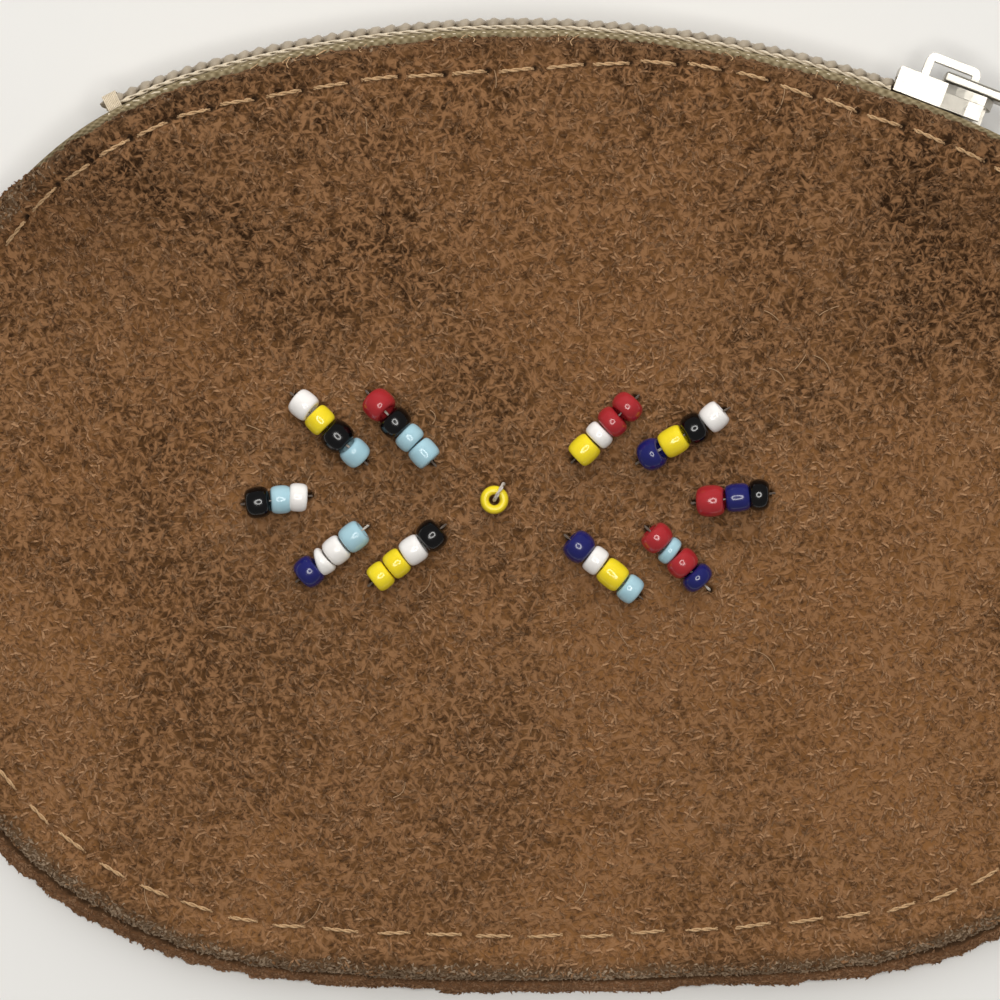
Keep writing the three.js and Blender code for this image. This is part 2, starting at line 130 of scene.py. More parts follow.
def look(tree, name, value):
    feed(tree, tree.nodes["Principled BSDF"].inputs[name], value)


def new_finish(name, roughness, specular=0.5, more=None):
    material = bpy.data.materials.new(name)
    material.use_nodes = True
    settings = {"Roughness": roughness, "Specular IOR Level": specular, **(more or {})}
    for setting, value in settings.items():
        look(material.node_tree, setting, value)
    return material, material.node_tree


def grain(tree, where, scale, detail=2.0, roughness=0.5, result="Fac"):
    made = node(tree, "ShaderNodeTexNoise", {
        "Vector": where, "Scale": scale, "Detail": detail, "Roughness": roughness,
    })
    return made.outputs[result]


def remap(tree, value, low, high, start=0.0, end=1.0):
    made = node(tree, "ShaderNodeMapRange", {
        "Value": value, "From Min": low, "From Max": high, "To Min": start, "To Max": end,
    })
    return made.outputs["Result"]


def maths(tree, operation, *values):
    made = node(tree, "ShaderNodeMath", operation=operation)
    for socket, value in zip(made.inputs, values):
        feed(tree, socket, value)
    return made.outputs[0]


def plus(tree, total, value, weight):
    return maths(tree, "ADD", total, maths(tree, "MULTIPLY", value, weight))


def blend_colours(tree, share, first, second, blend_type="MIX"):
    made = node(tree, "ShaderNodeMix", {"Factor": share}, data_type="RGBA", blend_type=blend_type)
    for i, colour in zip(MIX_INPUTS, (first, second)):
        feed(tree, made.inputs[i], colour)
    return made.outputs[MIX_RESULT]


def two_tone(tree, share, tones):
    look(tree, "Base Color", blend_colours(tree, share, *tones))


def relief(tree, height, strength, depth):
    made = node(tree, "ShaderNodeBump", {"Height": height, "Strength": strength, "Distance": depth})
    look(tree, "Normal", made.outputs["Normal"])


def object_place(tree):
    return node(tree, "ShaderNodeTexCoord").outputs["Object"]


def stored(tree, name):
    """A number that the mesh carries at each point."""
    return node(tree, "ShaderNodeAttribute", attribute_name=name).outputs["Fac"]


def grainy_finish(name, tones, scale, detail=2.0, bump=None, **settings):
    """A finish of two tones, mottled by one noise, which may also lift its bump."""
    material, tree = new_finish(name, **settings)
    speckle = grain(tree, object_place(tree), scale, detail)
    two_tone(tree, speckle, tones)
    if bump:
        relief(tree, speckle, *bump)
    return material


print("helpers ready")

# %% [markdown]
# The purse lies on a pale table. The floor is a plain sheet a hair below the leather, with a colour that
# is only just uneven, so that the soft shadow under the purse reads.

# %% Floor
FLOOR_SIZE = 3.0
FLOOR_DROP = 0.05 * MM
TABLE_TONES = (paint(232, 230, 226), paint(238, 237, 234))


def mesh_from(name, shape, rounded=False):
    """The shape as a mesh, shaded smooth if it is a rounded one."""
    for face in shape.faces:
        face.smooth = rounded
    mesh = bpy.data.meshes.new(name)
    shape.to_mesh(mesh)
    shape.free()
    return mesh


def show(name, data):
    piece = bpy.data.objects.new(name, data)
    scene.collection.objects.link(piece)
    return piece


floor_shape = bmesh.new()
bmesh.ops.create_grid(floor_shape, x_segments=1, y_segments=1, size=FLOOR_SIZE / 2)
bmesh.ops.translate(floor_shape, vec=(0, 0, -FLOOR_DROP), verts=floor_shape.verts)
floor = show("floor", mesh_from("floor", floor_shape))

pale_table = grainy_finish("pale_table", TABLE_TONES, scale=9.0, roughness=0.7, specular=0.2)
floor.data.materials.append(pale_table)
print("floor made, width in m:", FLOOR_SIZE)

# %% [markdown]
# The glass beads tell what lit the photo: each dark one shows a small bright ring, the mirror image of a
# ring lamp round the camera. A flat ring that glows makes the same mark, and a wide soft panel behind
# the zip gives the table its slow fall from bright to dim.

# %% Ring lamp and soft panel
RING_OUTER = 150 * MM
RING_INNER = 92 * MM
RING_SIDES = 64
RING_CENTRE = Vector((-5, 15, 470)) * MM
RING_STRENGTH = 9.9
RING_TINT = (1.0, 0.98, 0.95, 1)
UNLIT = (0, 0, 0, 1)
PANEL_SIZE = 0.8
PANEL_CENTRE = Vector((0.04, 0.66, 0.42))
PANEL_POWER = 5.0
ROOM_LIGHT = 0.15
ROOM_TINT = (1.0, 0.99, 0.97, 1)

ring = bmesh.new()
for radius in (RING_OUTER, RING_INNER):
    bmesh.ops.create_circle(ring, segments=RING_SIDES, radius=radius)
bmesh.ops.bridge_loops(ring, edges=ring.edges[:])
bmesh.ops.translate(ring, vec=RING_CENTRE, verts=ring.verts)
ring_lamp = show("ring_lamp", mesh_from("ring_lamp", ring))
ring_lamp.visible_camera = False
glow = new_finish("lamp_glow", roughness=0.5, more={
    "Base Color": UNLIT, "Emission Color": RING_TINT, "Emission Strength": RING_STRENGTH,
})[0]
ring_lamp.data.materials.append(glow)

panel_light = bpy.data.lights.new("soft_panel", "AREA")
panel_light.size = PANEL_SIZE
panel_light.energy = PANEL_POWER
soft_panel = show("soft_panel", panel_light)
soft_panel.location = PANEL_CENTRE
soft_panel.rotation_euler = (VIEW_CENTRE - PANEL_CENTRE).to_track_quat("-Z", "Y").to_euler()
soft_panel.visible_glossy = False

room = bpy.data.worlds.new("room")
room.use_nodes = True
background = room.node_tree.nodes["Background"]
background.inputs["Color"].default_value = ROOM_TINT
background.inputs["Strength"].default_value = ROOM_LIGHT
scene.world = room
print("lights: ring lamp, soft panel and room")

# %% [markdown]
# Every seam, tape and tooth follows the purse's outline, which is four arcs that run into each other: the
# dome, two round sides and the bottom. `edge_at` walks along it from the middle of the dome, clockwise,
# and gives a point and the direction straight out of the purse. All these lengths are in millimetres.

# %% Outline of the purse
PURSE_WIDTH = 118
PURSE_HEIGHT = 82
DOME = (-3.2, -57, 98)
BOTTOM = (0, 229, 270)
HALVINGS = 50
TURN = 2 * math.pi


def side_arc(reach):
    """The arc that touches dome and bottom from inside and just reaches x = reach."""
    def lift(arc, radius):
        span = abs(reach - arc[0])
        return math.sqrt(arc[2] ** 2 - span ** 2 + 2 * radius * (span - arc[2]))

    small, large = 0, PURSE_HEIGHT / 2
    for _ in range(HALVINGS):
        radius = (small + large) / 2
        if DOME[1] + lift(DOME, radius) > BOTTOM[1] - lift(BOTTOM, radius):
            small = radius
        else:
            large = radius
    return (reach - math.copysign(small, reach), DOME[1] + lift(DOME, small), small)


def bearing(start, end):
    return math.atan2(end[1] - start[1], end[0] - start[0])


RIGHT = side_arc(PURSE_WIDTH / 2)
LEFT = side_arc(-PURSE_WIDTH / 2)
ARCS = [
    (DOME, math.pi / 2, bearing(DOME, RIGHT)),
    (RIGHT, bearing(DOME, RIGHT), bearing(BOTTOM, RIGHT)),
    (BOTTOM, bearing(BOTTOM, RIGHT), bearing(BOTTOM, LEFT)),
    (LEFT, bearing(BOTTOM, LEFT), bearing(DOME, LEFT) - TURN),
    (DOME, bearing(DOME, LEFT), math.pi / 2),
]
EDGE_LENGTH = sum(abs(end - start) * arc[2] for arc, start, end in ARCS)


def edge_at(along):
    left = along % EDGE_LENGTH
    for arc, start, end in ARCS:
        length = abs(end - start) * arc[2]
        if left <= length:
            break
        left -= length
    angle = start + (end - start) * left / length
    out = Vector((math.cos(angle), math.sin(angle), 0))
    return Vector((arc[0], arc[1], 0)) + out * arc[2], out


print("outline length in mm:", round(EDGE_LENGTH, 1))

# %% [markdown]
# The zip stands between the panels. Near its ends the panels come together and press it flat, and this is
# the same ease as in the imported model, so that tape and teeth stay where the frame has them.

# %% Places along the zip
LEATHER = 1.3
SEAM_GAP = 0.3
MOUTH_DEPTH = 8.4
MOUTH_LEFT = 38
MOUTH_RIGHT = 42.3
MOUTH_TAPER = 16
ZIP_LEAD = 2


def smooth(value, low, high):
    share = min(1, max(0, (value - low) / (high - low)))
    return share * share * (3 - 2 * share)


def mouth_open(along):
    start = MOUTH_RIGHT if along > 0 else MOUTH_LEFT
    return 1 - smooth(abs(along), start, start + MOUTH_TAPER)


def zip_point(along, out, across):
    """A point of the zip in millimetres: along it, out from the coils' face, across from its middle."""
    point, outward = edge_at(along)
    ahead = along + math.copysign(ZIP_LEAD, along)
    room_there = SEAM_GAP + (MOUTH_DEPTH - SEAM_GAP) * mouth_open(ahead)
    level = LEATHER + room_there * (0.5 + across / MOUTH_DEPTH)
    return point + outward * out + Vector((0, 0, level))


print("zip level in mm:", round(zip_point(0, 0, 0).z, 2))

# %% [markdown]
# Where a needle went through the leather there is a small dark hole, and the stitches between press a
# line into it. So the seams are planned before the leather is made. One row holds the front to the zip
# tape; its distance from the edge wanders, as the photo shows. The other holds the two panels together.

# %% Plan the seams
ZIP_SEAM = {"start": -50.9, "end": 53, "pitch": 4.06, "length": 3.2, "seed": 3}
ZIP_SEAM_INSET = [(-60, 4.2), (-30, 4.3), (-14, 4.8), (-5, 5.0), (0, 4.75), (6, 4.1), (12, 3.4), (19, 3.15),
                  (27, 3.9), (60, 4.2)]
SIDE_SEAM = {"start": 57.55, "end": EDGE_LENGTH - 55, "pitch": 4.45, "length": 3.15, "seed": 5}
SIDE_SEAM_INSET = [(57, 4.2), (142, 5.25), (165, 4.7), (195, 4.55), (270, 4.2)]
LENGTH_WANDER = 0.25
INSET_WANDER = 0.12
PITCH_WANDER = 0.15


def inset_at(along, table):
    for (near, first), (far, second) in zip(table, table[1:]):
        if along <= far:
            share = (along - near) / (far - near)
            return first + (second - first) * share
    return table[-1][1]


def plan_seam(seam, table):
    """Each stitch as the two points, in plan, where its thread goes into the leather."""
    chance = random.Random(seam["seed"])

    def wander(most):
        return chance.uniform(-most, most)

    stitches = []
    along = seam["start"]
    while along < seam["end"]:
        ends = []
        for place in (along, along + seam["length"] + wander(LENGTH_WANDER)):
            point, outward = edge_at(place)
            ends.append(point - outward * (inset_at(place, table) + wander(INSET_WANDER)))
        stitches.append(ends)
        along += seam["pitch"] + wander(PITCH_WANDER)
    return stitches


zip_stitches = plan_seam(ZIP_SEAM, ZIP_SEAM_INSET)
side_stitches = plan_seam(SIDE_SEAM, SIDE_SEAM_INSET)
print("stitches:", len(zip_stitches), "along the zip,", len(side_stitches), "round the sides")

# %% [markdown]
# The beads' places come from the frame. Each strand's first and last bead give its line, and each end of
# that line has a needle hole just past the last bead. A few beads have slipped along their thread.

# %% Plan the strands
THREAD_REACH = 0.2
PALE_ENDS = {"lower_left_outer": 0.5, "lower_right_outer": 0.8}
SLIP = {"left_1_black": -0.2, "left_2_sky": -0.2, "left_3_white": -0.45, "right_3_black": -0.15}


def centre_of(name):
    low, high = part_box(name)
    return (low + high) / (2 * MM)


def span_along(name, axis):
    reach = [v.co.dot(axis) / MM for v in nodes[name].data.vertices]
    return max(reach) - min(reach)


def strand_axis(beads):
    return (centre_of(beads[-1]) - centre_of(beads[0])).normalized()


def bead_centre(name, axis):
    return centre_of(name) + axis * SLIP.get(name.removeprefix("bead_"), 0)


def strand_ends(beads):
    """Where the thread leaves the first and the last bead, and its direction."""
    axis = strand_axis(beads)
    first = bead_centre(beads[0], axis) - axis * span_along(beads[0], axis) / 2
    last = bead_centre(beads[-1], axis) + axis * span_along(beads[-1], axis) / 2
    return first, last, axis


strands = {}
for name in sorted(nodes):
    if name.startswith("bead_") and not name.startswith("bead_centre"):
        strand = name.removeprefix("bead_").rsplit("_", 2)[0]
        strands.setdefault(strand, []).append(name)

needle_holes = []
for strand, beads in strands.items():
    first, last, axis = strand_ends(beads)
    needle_holes += [first - axis * THREAD_REACH, last + axis * PALE_ENDS.get(strand, THREAD_REACH)]
print("strands:", len(strands), "needle holes:", len(needle_holes))

# %% [markdown]
# Suede is a thick, limp sheet with no sharp edge anywhere. A merged copy of each CAD panel is remeshed into
# small even faces, which rounds its corners and gives points to push about.

# %% Even sheets of leather
FRONT_FACE = 0.5 * MM
BACK_FACE = 0.6 * MM
WELD_GAP = 0.001


def evaluated_mesh(piece):
    bpy.context.view_layer.update()
    evaluated = piece.evaluated_get(bpy.context.evaluated_depsgraph_get())
    return bpy.data.meshes.new_from_object(evaluated)


def apply_modifiers(piece):
    finished = evaluated_mesh(piece)
    piece.modifiers.clear()
    piece.data = finished
    finished.name = piece.name


def even_sheet(node_name, name, face_size):
    sheet = bmesh.new()
    sheet.from_mesh(nodes[node_name].data)
    bmesh.ops.remove_doubles(sheet, verts=sheet.verts, dist=WELD_GAP * MM)
    piece = show(name, mesh_from(name, sheet))
    remesh = piece.modifiers.new("even_faces", "REMESH")
    remesh.mode = "VOXEL"
    remesh.voxel_size = face_size
    apply_modifiers(piece)
    return piece


front_suede = even_sheet("front_panel", "front_suede", FRONT_FACE)
back_suede = even_sheet("back_panel", "back_suede", BACK_FACE)
for piece in (front_suede, back_suede):
    print(piece.name, "faces:", len(piece.data.polygons))

# %% [markdown]
# Each needle hole is a pit half a millimetre wide, and the thread drags one hole of a stitch open more than
# the other. The points near a place in plan are found with a tree, which is quick even for thousands.

# %% Needle pits
PIT_SPREAD = 0.33
PIT_SHARES = (0.6, 1)
PIT_SPREADS = (0.7, 1.1)
BEAD_PIT = (0.8, 0.32)
ZIP_PULL = (0.3, 1.0)
SIDE_PULL = (0.4, 0.2)
BACK_PULL = (0.6, 0.6)

pit_chance = random.Random(17)


def stitch_pits(stitches, pull):
    """Each pit as its point, how deep it is and how wide."""
    pits = []
    for ends in stitches:
        for point, share in zip(ends, pull):
            depth = share * pit_chance.uniform(*PIT_SHARES)
            pits.append((point, depth, PIT_SPREAD * pit_chance.uniform(*PIT_SPREADS)))
    return pits


def plan_tree(points):
    found = KDTree(len(points))
    for i, point in enumerate(points):
        found.insert((point.x, point.y, 0), i)
    found.balance()
    return found


def find_near(finder, point):
    """Which of the tree's points lies nearest in plan, and how far away, in millimetres."""
    return finder.find((point.x / MM, point.y / MM, 0))[1:]


front_pits = [(point, *BEAD_PIT) for point in needle_holes]
front_pits += stitch_pits(zip_stitches, ZIP_PULL) + stitch_pits(side_stitches, SIDE_PULL)
back_pits = stitch_pits(side_stitches + zip_stitches, BACK_PULL)
print("pits:", len(front_pits), "in the front,", len(back_pits), "in the back")

# %% [markdown]
# Hide is never quite flat: it has slow waves and small lumps. The seams press a shallow line, and the cut
# edge is ragged and slants. Round the pits the faces are cut smaller first, so that a pit can be dented in.
# What the finish needs to know is kept on the mesh: the slanted cut edge, the pits (dented, and darkened
# with painted shade), painted shade along the rim where the leather curves down at its edge, and the leather
# that the beads have rubbed. `nap` and `tufts` say where fibres grow.

# %% Work the leather
WAVES = ((22.0, 0.16), (5.0, 0.10), (1.7, 0.07))
RAGGED = ((6.0, 0.12), (2.2, 0.09), (0.9, 0.06))
TUFTS = ((1.1, 1.0), (0.44, 0.6))
TUFT_BAND = (-0.15, 0.6)
TUFTS_RUBBED = 0.35
FRONT_SPREAD = 0.7
BACK_SPREAD = 0.4
ZIP_EDGE_BACK = 0.25
ZIP_EDGE_CLEAN = 0.95
CUT_SLANT = (0.34, 0.62)
CUT_REACH = (2.6, 3.6)
RIM_REACH = (1.0, 4.0)
# How far in and how strong the painted shade along the rim is.
RIM_SHADE_REACH = (1.6, 3.2)
RIM_SHADE_STRENGTH = 0.85
ZIP_RIM_PALER = 0.3
RUBBED = 5.0
SEAM_PRESS = 0.15
SEAM_SPREAD = 0.75
SEAM_POINTS = 5
PIT_DEPTH = 0.55
PIT_BARE = (0.02, 0.2)
SHOWN = (0.2, 0.7)
FINE_REACH = 0.9
FINE_FACING = 0.5
FINE_CUTS = 2
EDGE_STEP = 0.5
MARKS = ("cut_edge", "pierced", "nap", "tufts", "dark_rim", "rubbed")

edge_steps = [i * EDGE_STEP for i in range(int(EDGE_LENGTH / EDGE_STEP))]
edge_finder = plan_tree([edge_at(along)[0] for along in edge_steps])
by_zip = [mouth_open((along + EDGE_LENGTH / 2) % EDGE_LENGTH - EDGE_LENGTH / 2) for along in edge_steps]
strand_finder = plan_tree(needle_holes)


def along_stitches(stitches):
    return [a.lerp(b, i / SEAM_POINTS) for a, b in stitches for i in range(SEAM_POINTS + 1)]


def lumps(point, layers):
    return sum(height * noise.noise(point / (size * MM)) for size, height in layers)


def bell(distance, width):
    return math.exp(-((distance / width) ** 2))


def work_leather(piece, pits, stitches, side, spread):
    """Waves, pressed seams and pits on the face that looks to the given side, up or down."""
    sheet = bmesh.new()
    sheet.from_mesh(piece.data)
    pit_finder = plan_tree([pit[0] for pit in pits])
    seam_finder = plan_tree(along_stitches(stitches))
    sheet.normal_update()
    fine = []
    for edge in sheet.edges:
        v = edge.verts[0]
        if side * v.normal.z > FINE_FACING and find_near(pit_finder, v.co)[1] < FINE_REACH:
            fine.append(edge)
    bmesh.ops.subdivide_edges(sheet, edges=fine, cuts=FINE_CUTS, use_grid_fill=True)
    sheet.normal_update()
    cut, pierced, nap, tufts, shaded, worn = [sheet.verts.layers.float.new(mark) for mark in MARKS]
    moves = {}
    for v in sheet.verts:
        shown = smooth(side * v.normal.z, *SHOWN)
        slant = math.hypot(v.normal.x, v.normal.y)
        place, inset = find_near(edge_finder, v.co)
        zipped = by_zip[place]
        which, away = find_near(pit_finder, v.co)
        pit = pits[which][1] * bell(away, pits[which][2]) * shown
        v[cut] = smooth(slant, *CUT_SLANT) * (1 - smooth(inset, *CUT_REACH)) * (1 - ZIP_EDGE_CLEAN * zipped)
        v[pierced] = pit
        v[nap] = shown * (1 - smooth(pit, *PIT_BARE))
        v[worn] = bell(find_near(strand_finder, v.co)[1], RUBBED)
        v[tufts] = v[nap] * (smooth(lumps(v.co, TUFTS), *TUFT_BAND) + TUFTS_RUBBED * v[worn])
        # Painted shade along the rim, where the leather curves down at its edge: it reaches further in but
        # is fainter along the zip.
        dark = 1 - smooth(inset, RIM_SHADE_REACH[0], RIM_SHADE_REACH[1] + zipped)
        v[shaded] = dark * RIM_SHADE_STRENGTH * (1 - ZIP_RIM_PALER * zipped)
        press = bell(find_near(seam_finder, v.co)[1], SEAM_SPREAD) * shown
        swell = lumps(v.co, WAVES) - SEAM_PRESS * press - PIT_DEPTH * pit
        ragged = spread + lumps(v.co, RAGGED)
        stretch = ragged * (1 - zipped) - ZIP_EDGE_BACK * zipped
        outward = edge_at(edge_steps[place])[1]
        rim = 1 - smooth(inset, *RIM_REACH)
        moves[v] = v.normal * swell * MM + outward * stretch * rim * MM
    for v, move in moves.items():
        v.co += move
        v.co.z = max(v.co.z, 0)
    for face in sheet.faces:
        face.smooth = True
    sheet.to_mesh(piece.data)
    sheet.free()


def triangles(piece):
    return sum(len(p.vertices) - 2 for p in piece.data.polygons)


work_leather(front_suede, front_pits, zip_stitches + side_stitches, 1, FRONT_SPREAD)
work_leather(back_suede, back_pits, side_stitches + zip_stitches, -1, BACK_SPREAD)
print("front triangles:", triangles(front_suede))

# %% [markdown]
# Suede is leather with its fibres raised. Seen close it is a felt of short light hairs over a darker ground.
# The finish builds that up in layers: slow patches of tone from handling, clumps of nap, and fine streaks.
# A streak is noise stretched one way; three of them, turned and bent by a slow warp, make a felt. The same
# layers drive the bump.

# %% Suede finish
NAP_TURNS = (10, 70, 130)
STREAK_SCALE = 2600
STREAK_STRETCH = 2.8
STREAK_BAND = (0.5, 0.66)
WARP = 0.5 * MM
WARP_SCALE = 700
CLUMP_WEIGHT = 0.7
MOTTLE_BAND = (0.75, 0.97)
MOTTLE_TOP = 0.76
# Painted light: the tone grows paler towards the bottom of the purse.
PAINTED_LIGHT_REACH = (-40 * MM, 25 * MM)
PAINTED_LIGHT_TOP = 0.62
RUBBED_PALER = 0.4
RIM_SHADE_IN_TONE = 0.4
TONE_TOP = 1.25
DYE_BAND = (0.45, 0.68)
RED_DYE = (1.0, 0.98, 0.95, 1.0)
GROUND_TONES = (paint(47, 29, 13), paint(134, 93, 55))
CURL_COLOUR = paint(144, 105, 71)
RIM_SHADE_COLOUR = paint(70, 50, 33)
PIT_SHADE_COLOUR = paint(44, 29, 17)
PIT_SHADE_BAND = (0.06, 0.6)
CUT_GREY = paint(118, 94, 70)
CUT_BROWN = paint(140, 99, 67)
CUT_BY_TONE = (0.0, 0.64, 0.55, 1.0)
SHEEN = {"Sheen Weight": 0.12, "Sheen Roughness": 0.6, "Sheen Tint": paint(214, 176, 138)}


def streaks(tree, where, turn):
    lie = node(tree, "ShaderNodeMapping", {
        "Vector": where, "Rotation": (0, 0, math.radians(turn)), "Scale": (STREAK_STRETCH, 1, 1),
    }, vector_type="TEXTURE")
    return remap(tree, grain(tree, lie.outputs[0], STREAK_SCALE, detail=1.0), *STREAK_BAND)


def felt_streaks(tree, place):
    """Light curls of nap: streaks at several turns, bent by a slow noise."""
    bend = grain(tree, place, WARP_SCALE, detail=1.0, result="Color")
    warped = node(tree, "ShaderNodeVectorMath", operation="MULTIPLY_ADD")
    for socket, value in zip(warped.inputs, (bend, (WARP, WARP, WARP), place)):
        feed(tree, socket, value)
    felt = streaks(tree, warped.outputs[0], NAP_TURNS[0])
    for turn in NAP_TURNS[1:]:
        felt = maths(tree, "MAXIMUM", felt, streaks(tree, warped.outputs[0], turn))
    return felt


def hide_tone(tree, place):
    """From 0, dark, to 1, light: slow patches, clumps of nap, painted light that makes it paler low down,
    paler where beads rub, and painted shade along the rim.
    """
    patches = grain(tree, place, scale=48, detail=5.0, roughness=0.62)
    clumps = grain(tree, place, scale=700, detail=3.0, roughness=0.8)
    mottle = remap(tree, plus(tree, patches, clumps, CLUMP_WEIGHT), *MOTTLE_BAND, 0.0, MOTTLE_TOP)
    # Painted light: paler towards the bottom, where more light falls.
    up = node(tree, "ShaderNodeSeparateXYZ", {"Vector": place}).outputs["Y"]
    tone = maths(tree, "ADD", mottle, remap(tree, up, *PAINTED_LIGHT_REACH, PAINTED_LIGHT_TOP, 0.0))
    tone = plus(tree, tone, stored(tree, "rubbed"), RUBBED_PALER)
    # Painted shade along the rim also lowers the tone.
    tone = plus(tree, tone, stored(tree, "dark_rim"), -RIM_SHADE_IN_TONE)
    return remap(tree, tone, 0.0, TONE_TOP)


def warmed(tree, place, colour):
    """The dye took more strongly in some patches, which look redder."""
    redder = remap(tree, grain(tree, place, scale=62), *DYE_BAND)
    return blend_colours(tree, redder, colour, RED_DYE, "MULTIPLY")


def suede_finish(name, cut_colour):
    material, tree = new_finish(name, roughness=0.95, specular=0.15, more=SHEEN)
    place = object_place(tree)
    felt = felt_streaks(tree, place)
    tone = hide_tone(tree, place)
    ground = blend_colours(tree, tone, *GROUND_TONES)
    colour = warmed(tree, place, blend_colours(tree, felt, ground, CURL_COLOUR))
    # Painted shade along the rim.
    colour = blend_colours(tree, stored(tree, "dark_rim"), colour, RIM_SHADE_COLOUR)
    edge = maths(tree, "MULTIPLY", stored(tree, "cut_edge"), remap(tree, tone, *CUT_BY_TONE))
    colour = blend_colours(tree, edge, colour, cut_colour)
    # Painted shade darkens the needle pits.
    pit = remap(tree, stored(tree, "pierced"), *PIT_SHADE_BAND)
    two_tone(tree, pit, (colour, PIT_SHADE_COLOUR))
    relief(tree, maths(tree, "ADD", felt, tone), strength=0.7, depth=0.12 * MM)
    return material


def dress(piece, material, stood_for=None):
    """Gives a piece its finish and its part in the frame."""
    piece.data.materials.clear()
    piece.data.materials.append(material)
    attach(piece, "purse")
    if stood_for:
        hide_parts(stood_for)


dress(front_suede, suede_finish("suede_front", CUT_GREY), "front_panel")
dress(back_suede, suede_finish("suede_back", CUT_BROWN), "back_panel")
print("suede finishes on", front_suede.name, "and", back_suede.name)

# %% [markdown]
# A bump can't cast a shadow, so the upper layer of the nap is real: tens of thousands of short fibres.
# One fibre is a three-sided spindle of a few triangles, drawn out thin and bent; the longer ones are curls.

# %% Fibre shapes
BENT = ((0.36, 0.2, 0.1), (0.3, -0.16, 0.08), (0.4, 0.06, 0.12))
CURLED = ((0.24, 0.3, 0.1), (0.22, -0.2, 0.08), (0.26, 0.1, 0.12))
FIBRE_SIDES = 3
FIBRE_TIP = 0.4


def fibre_shape(name, joints, width, sag, lift):
    """A fibre one millimetre long that lies along X, bowed sideways by sag and upwards by lift."""
    fibre = bmesh.new()
    bmesh.ops.create_uvsphere(fibre, u_segments=FIBRE_SIDES, v_segments=joints + 1, radius=0.5)
    bmesh.ops.rotate(fibre, matrix=Matrix.Rotation(math.pi / 2, 3, "Y"), verts=fibre.verts)
    bmesh.ops.scale(fibre, vec=(1, width, width), verts=fibre.verts)
    middle = [v for v in fibre.verts if abs(v.co.x) < FIBRE_TIP]
    bmesh.ops.translate(fibre, vec=(0, sag, lift), verts=middle)
    bmesh.ops.scale(fibre, vec=(MM, MM, MM), verts=fibre.verts)
    return bpy.data.objects.new(name, mesh_from(name, fibre))


def fibre_set(name, joints, shapes):
    kinds = bpy.data.collections.new(name)
    for i, shape in enumerate(shapes):
        kinds.objects.link(fibre_shape(f"{name}_{i}", joints, *shape))
    return kinds


bent_fibres = fibre_set("bent_fibres", 1, BENT)
curled_fibres = fibre_set("curled_fibres", 2, CURLED)

# %% [markdown]
# Geometry nodes scatter copies of these fibres over a sheet, each lying flat at its own angle, and the
# result is kept as a plain mesh. How many grow at a place follows one of the numbers kept on the sheet.


# %% Scatter fibres over a sheet
def random_value(tree, kind, low, high, seed):
    made = node(tree, "FunctionNodeRandomValue", {"Min": low, "Max": high, "Seed": seed}, data_type=kind)
    return [s for s in made.outputs if s.enabled][0]


def turned(tree, rotation, axis, angle):
    by = node(tree, "FunctionNodeAxisAngleToRotation", {"Axis": axis, "Angle": angle})
    made = node(tree, "FunctionNodeRotateRotation", {
        "Rotation": rotation, "Rotate By": by.outputs[0],
    }, rotation_space="LOCAL")
    return made.outputs[0]


def scatter_tree(name, fibres, mask, per_mm2, scale, tilt, seed):
    tree = bpy.data.node_groups.new(name, "GeometryNodeTree")
    tree.interface.new_socket("Sheet", in_out="INPUT", socket_type="NodeSocketGeometry")
    tree.interface.new_socket("Fibres", in_out="OUTPUT", socket_type="NodeSocketGeometry")
    sheet = node(tree, "NodeGroupInput").outputs[0]
    where = node(tree, "GeometryNodeInputNamedAttribute", {"Name": mask}, data_type="FLOAT")
    density = maths(tree, "MULTIPLY", where.outputs[0], per_mm2 / MM ** 2)
    spots = node(tree, "GeometryNodeDistributePointsOnFaces", {
        "Mesh": sheet, "Density": density, "Seed": seed,
    })
    heading = random_value(tree, "FLOAT", 0, TURN, seed + 1)
    lying = turned(tree, spots.outputs["Rotation"], (0, 0, 1), heading)
    lying = turned(tree, lying, (0, 1, 0), random_value(tree, "FLOAT", -tilt, tilt, seed + 2))
    kinds = node(tree, "GeometryNodeCollectionInfo", {
        "Collection": fibres, "Separate Children": True,
    })
    placed = node(tree, "GeometryNodeInstanceOnPoints", {
        "Points": spots.outputs["Points"],
        "Instance": kinds.outputs[0],
        "Pick Instance": True,
        "Instance Index": random_value(tree, "INT", 0, len(fibres.objects) - 1, seed + 3),
        "Rotation": lying,
        "Scale": random_value(tree, "FLOAT", *scale, seed + 4),
    })
    shaded = node(tree, "GeometryNodeStoreNamedAttribute", {
        "Geometry": placed.outputs[0],
        "Name": "shade",
        "Value": random_value(tree, "FLOAT", 0.0, 1.0, seed + 5),
    }, data_type="FLOAT", domain="INSTANCE")
    real = node(tree, "GeometryNodeRealizeInstances", {"Geometry": shaded.outputs[0]})
    out = node(tree, "NodeGroupOutput")
    tree.links.new(real.outputs[0], out.inputs[0])
    return tree


def scatter(sheet, name, material, *growth):
    """Growth is the rest of what `scatter_tree` asks for, in its order."""
    piece = show(name, sheet.data.copy())
    grow = piece.modifiers.new("fibres", "NODES")
    grow.node_group = scatter_tree(name, *growth)
    apply_modifiers(piece)
    for v in piece.data.vertices:
        v.co.z = max(v.co.z, 0)
    dress(piece, material)
    print(name, "triangles:", triangles(piece))


print("scatter ready")

# %% [markdown]
# The fibres catch light at their own angles. They take the tone and the streaks of the felt below them, and
# each has its own shade from a random number that the scatter stored on it. Two layers lie on the front, a
# dense short one and a longer, lighter one on top. The back gets one thin layer. Round the cut edges stiffer
# fibres stand up as fuzz.

# %% Nap and edge fuzz
SHADE_WEIGHT = 0.12
CURL_WEIGHT = 0.5
TONE_WEIGHT = 0.6
FIBRE_TONES = {
    "nap_brown": (paint(50, 31, 15), paint(139, 101, 68)),
    "nap_tan": (paint(60, 39, 22), paint(162, 124, 90)),
    "fuzz_grey": (paint(100, 79, 59), paint(160, 138, 114)),
    "fuzz_brown": (paint(102, 70, 45), paint(162, 126, 95)),
}
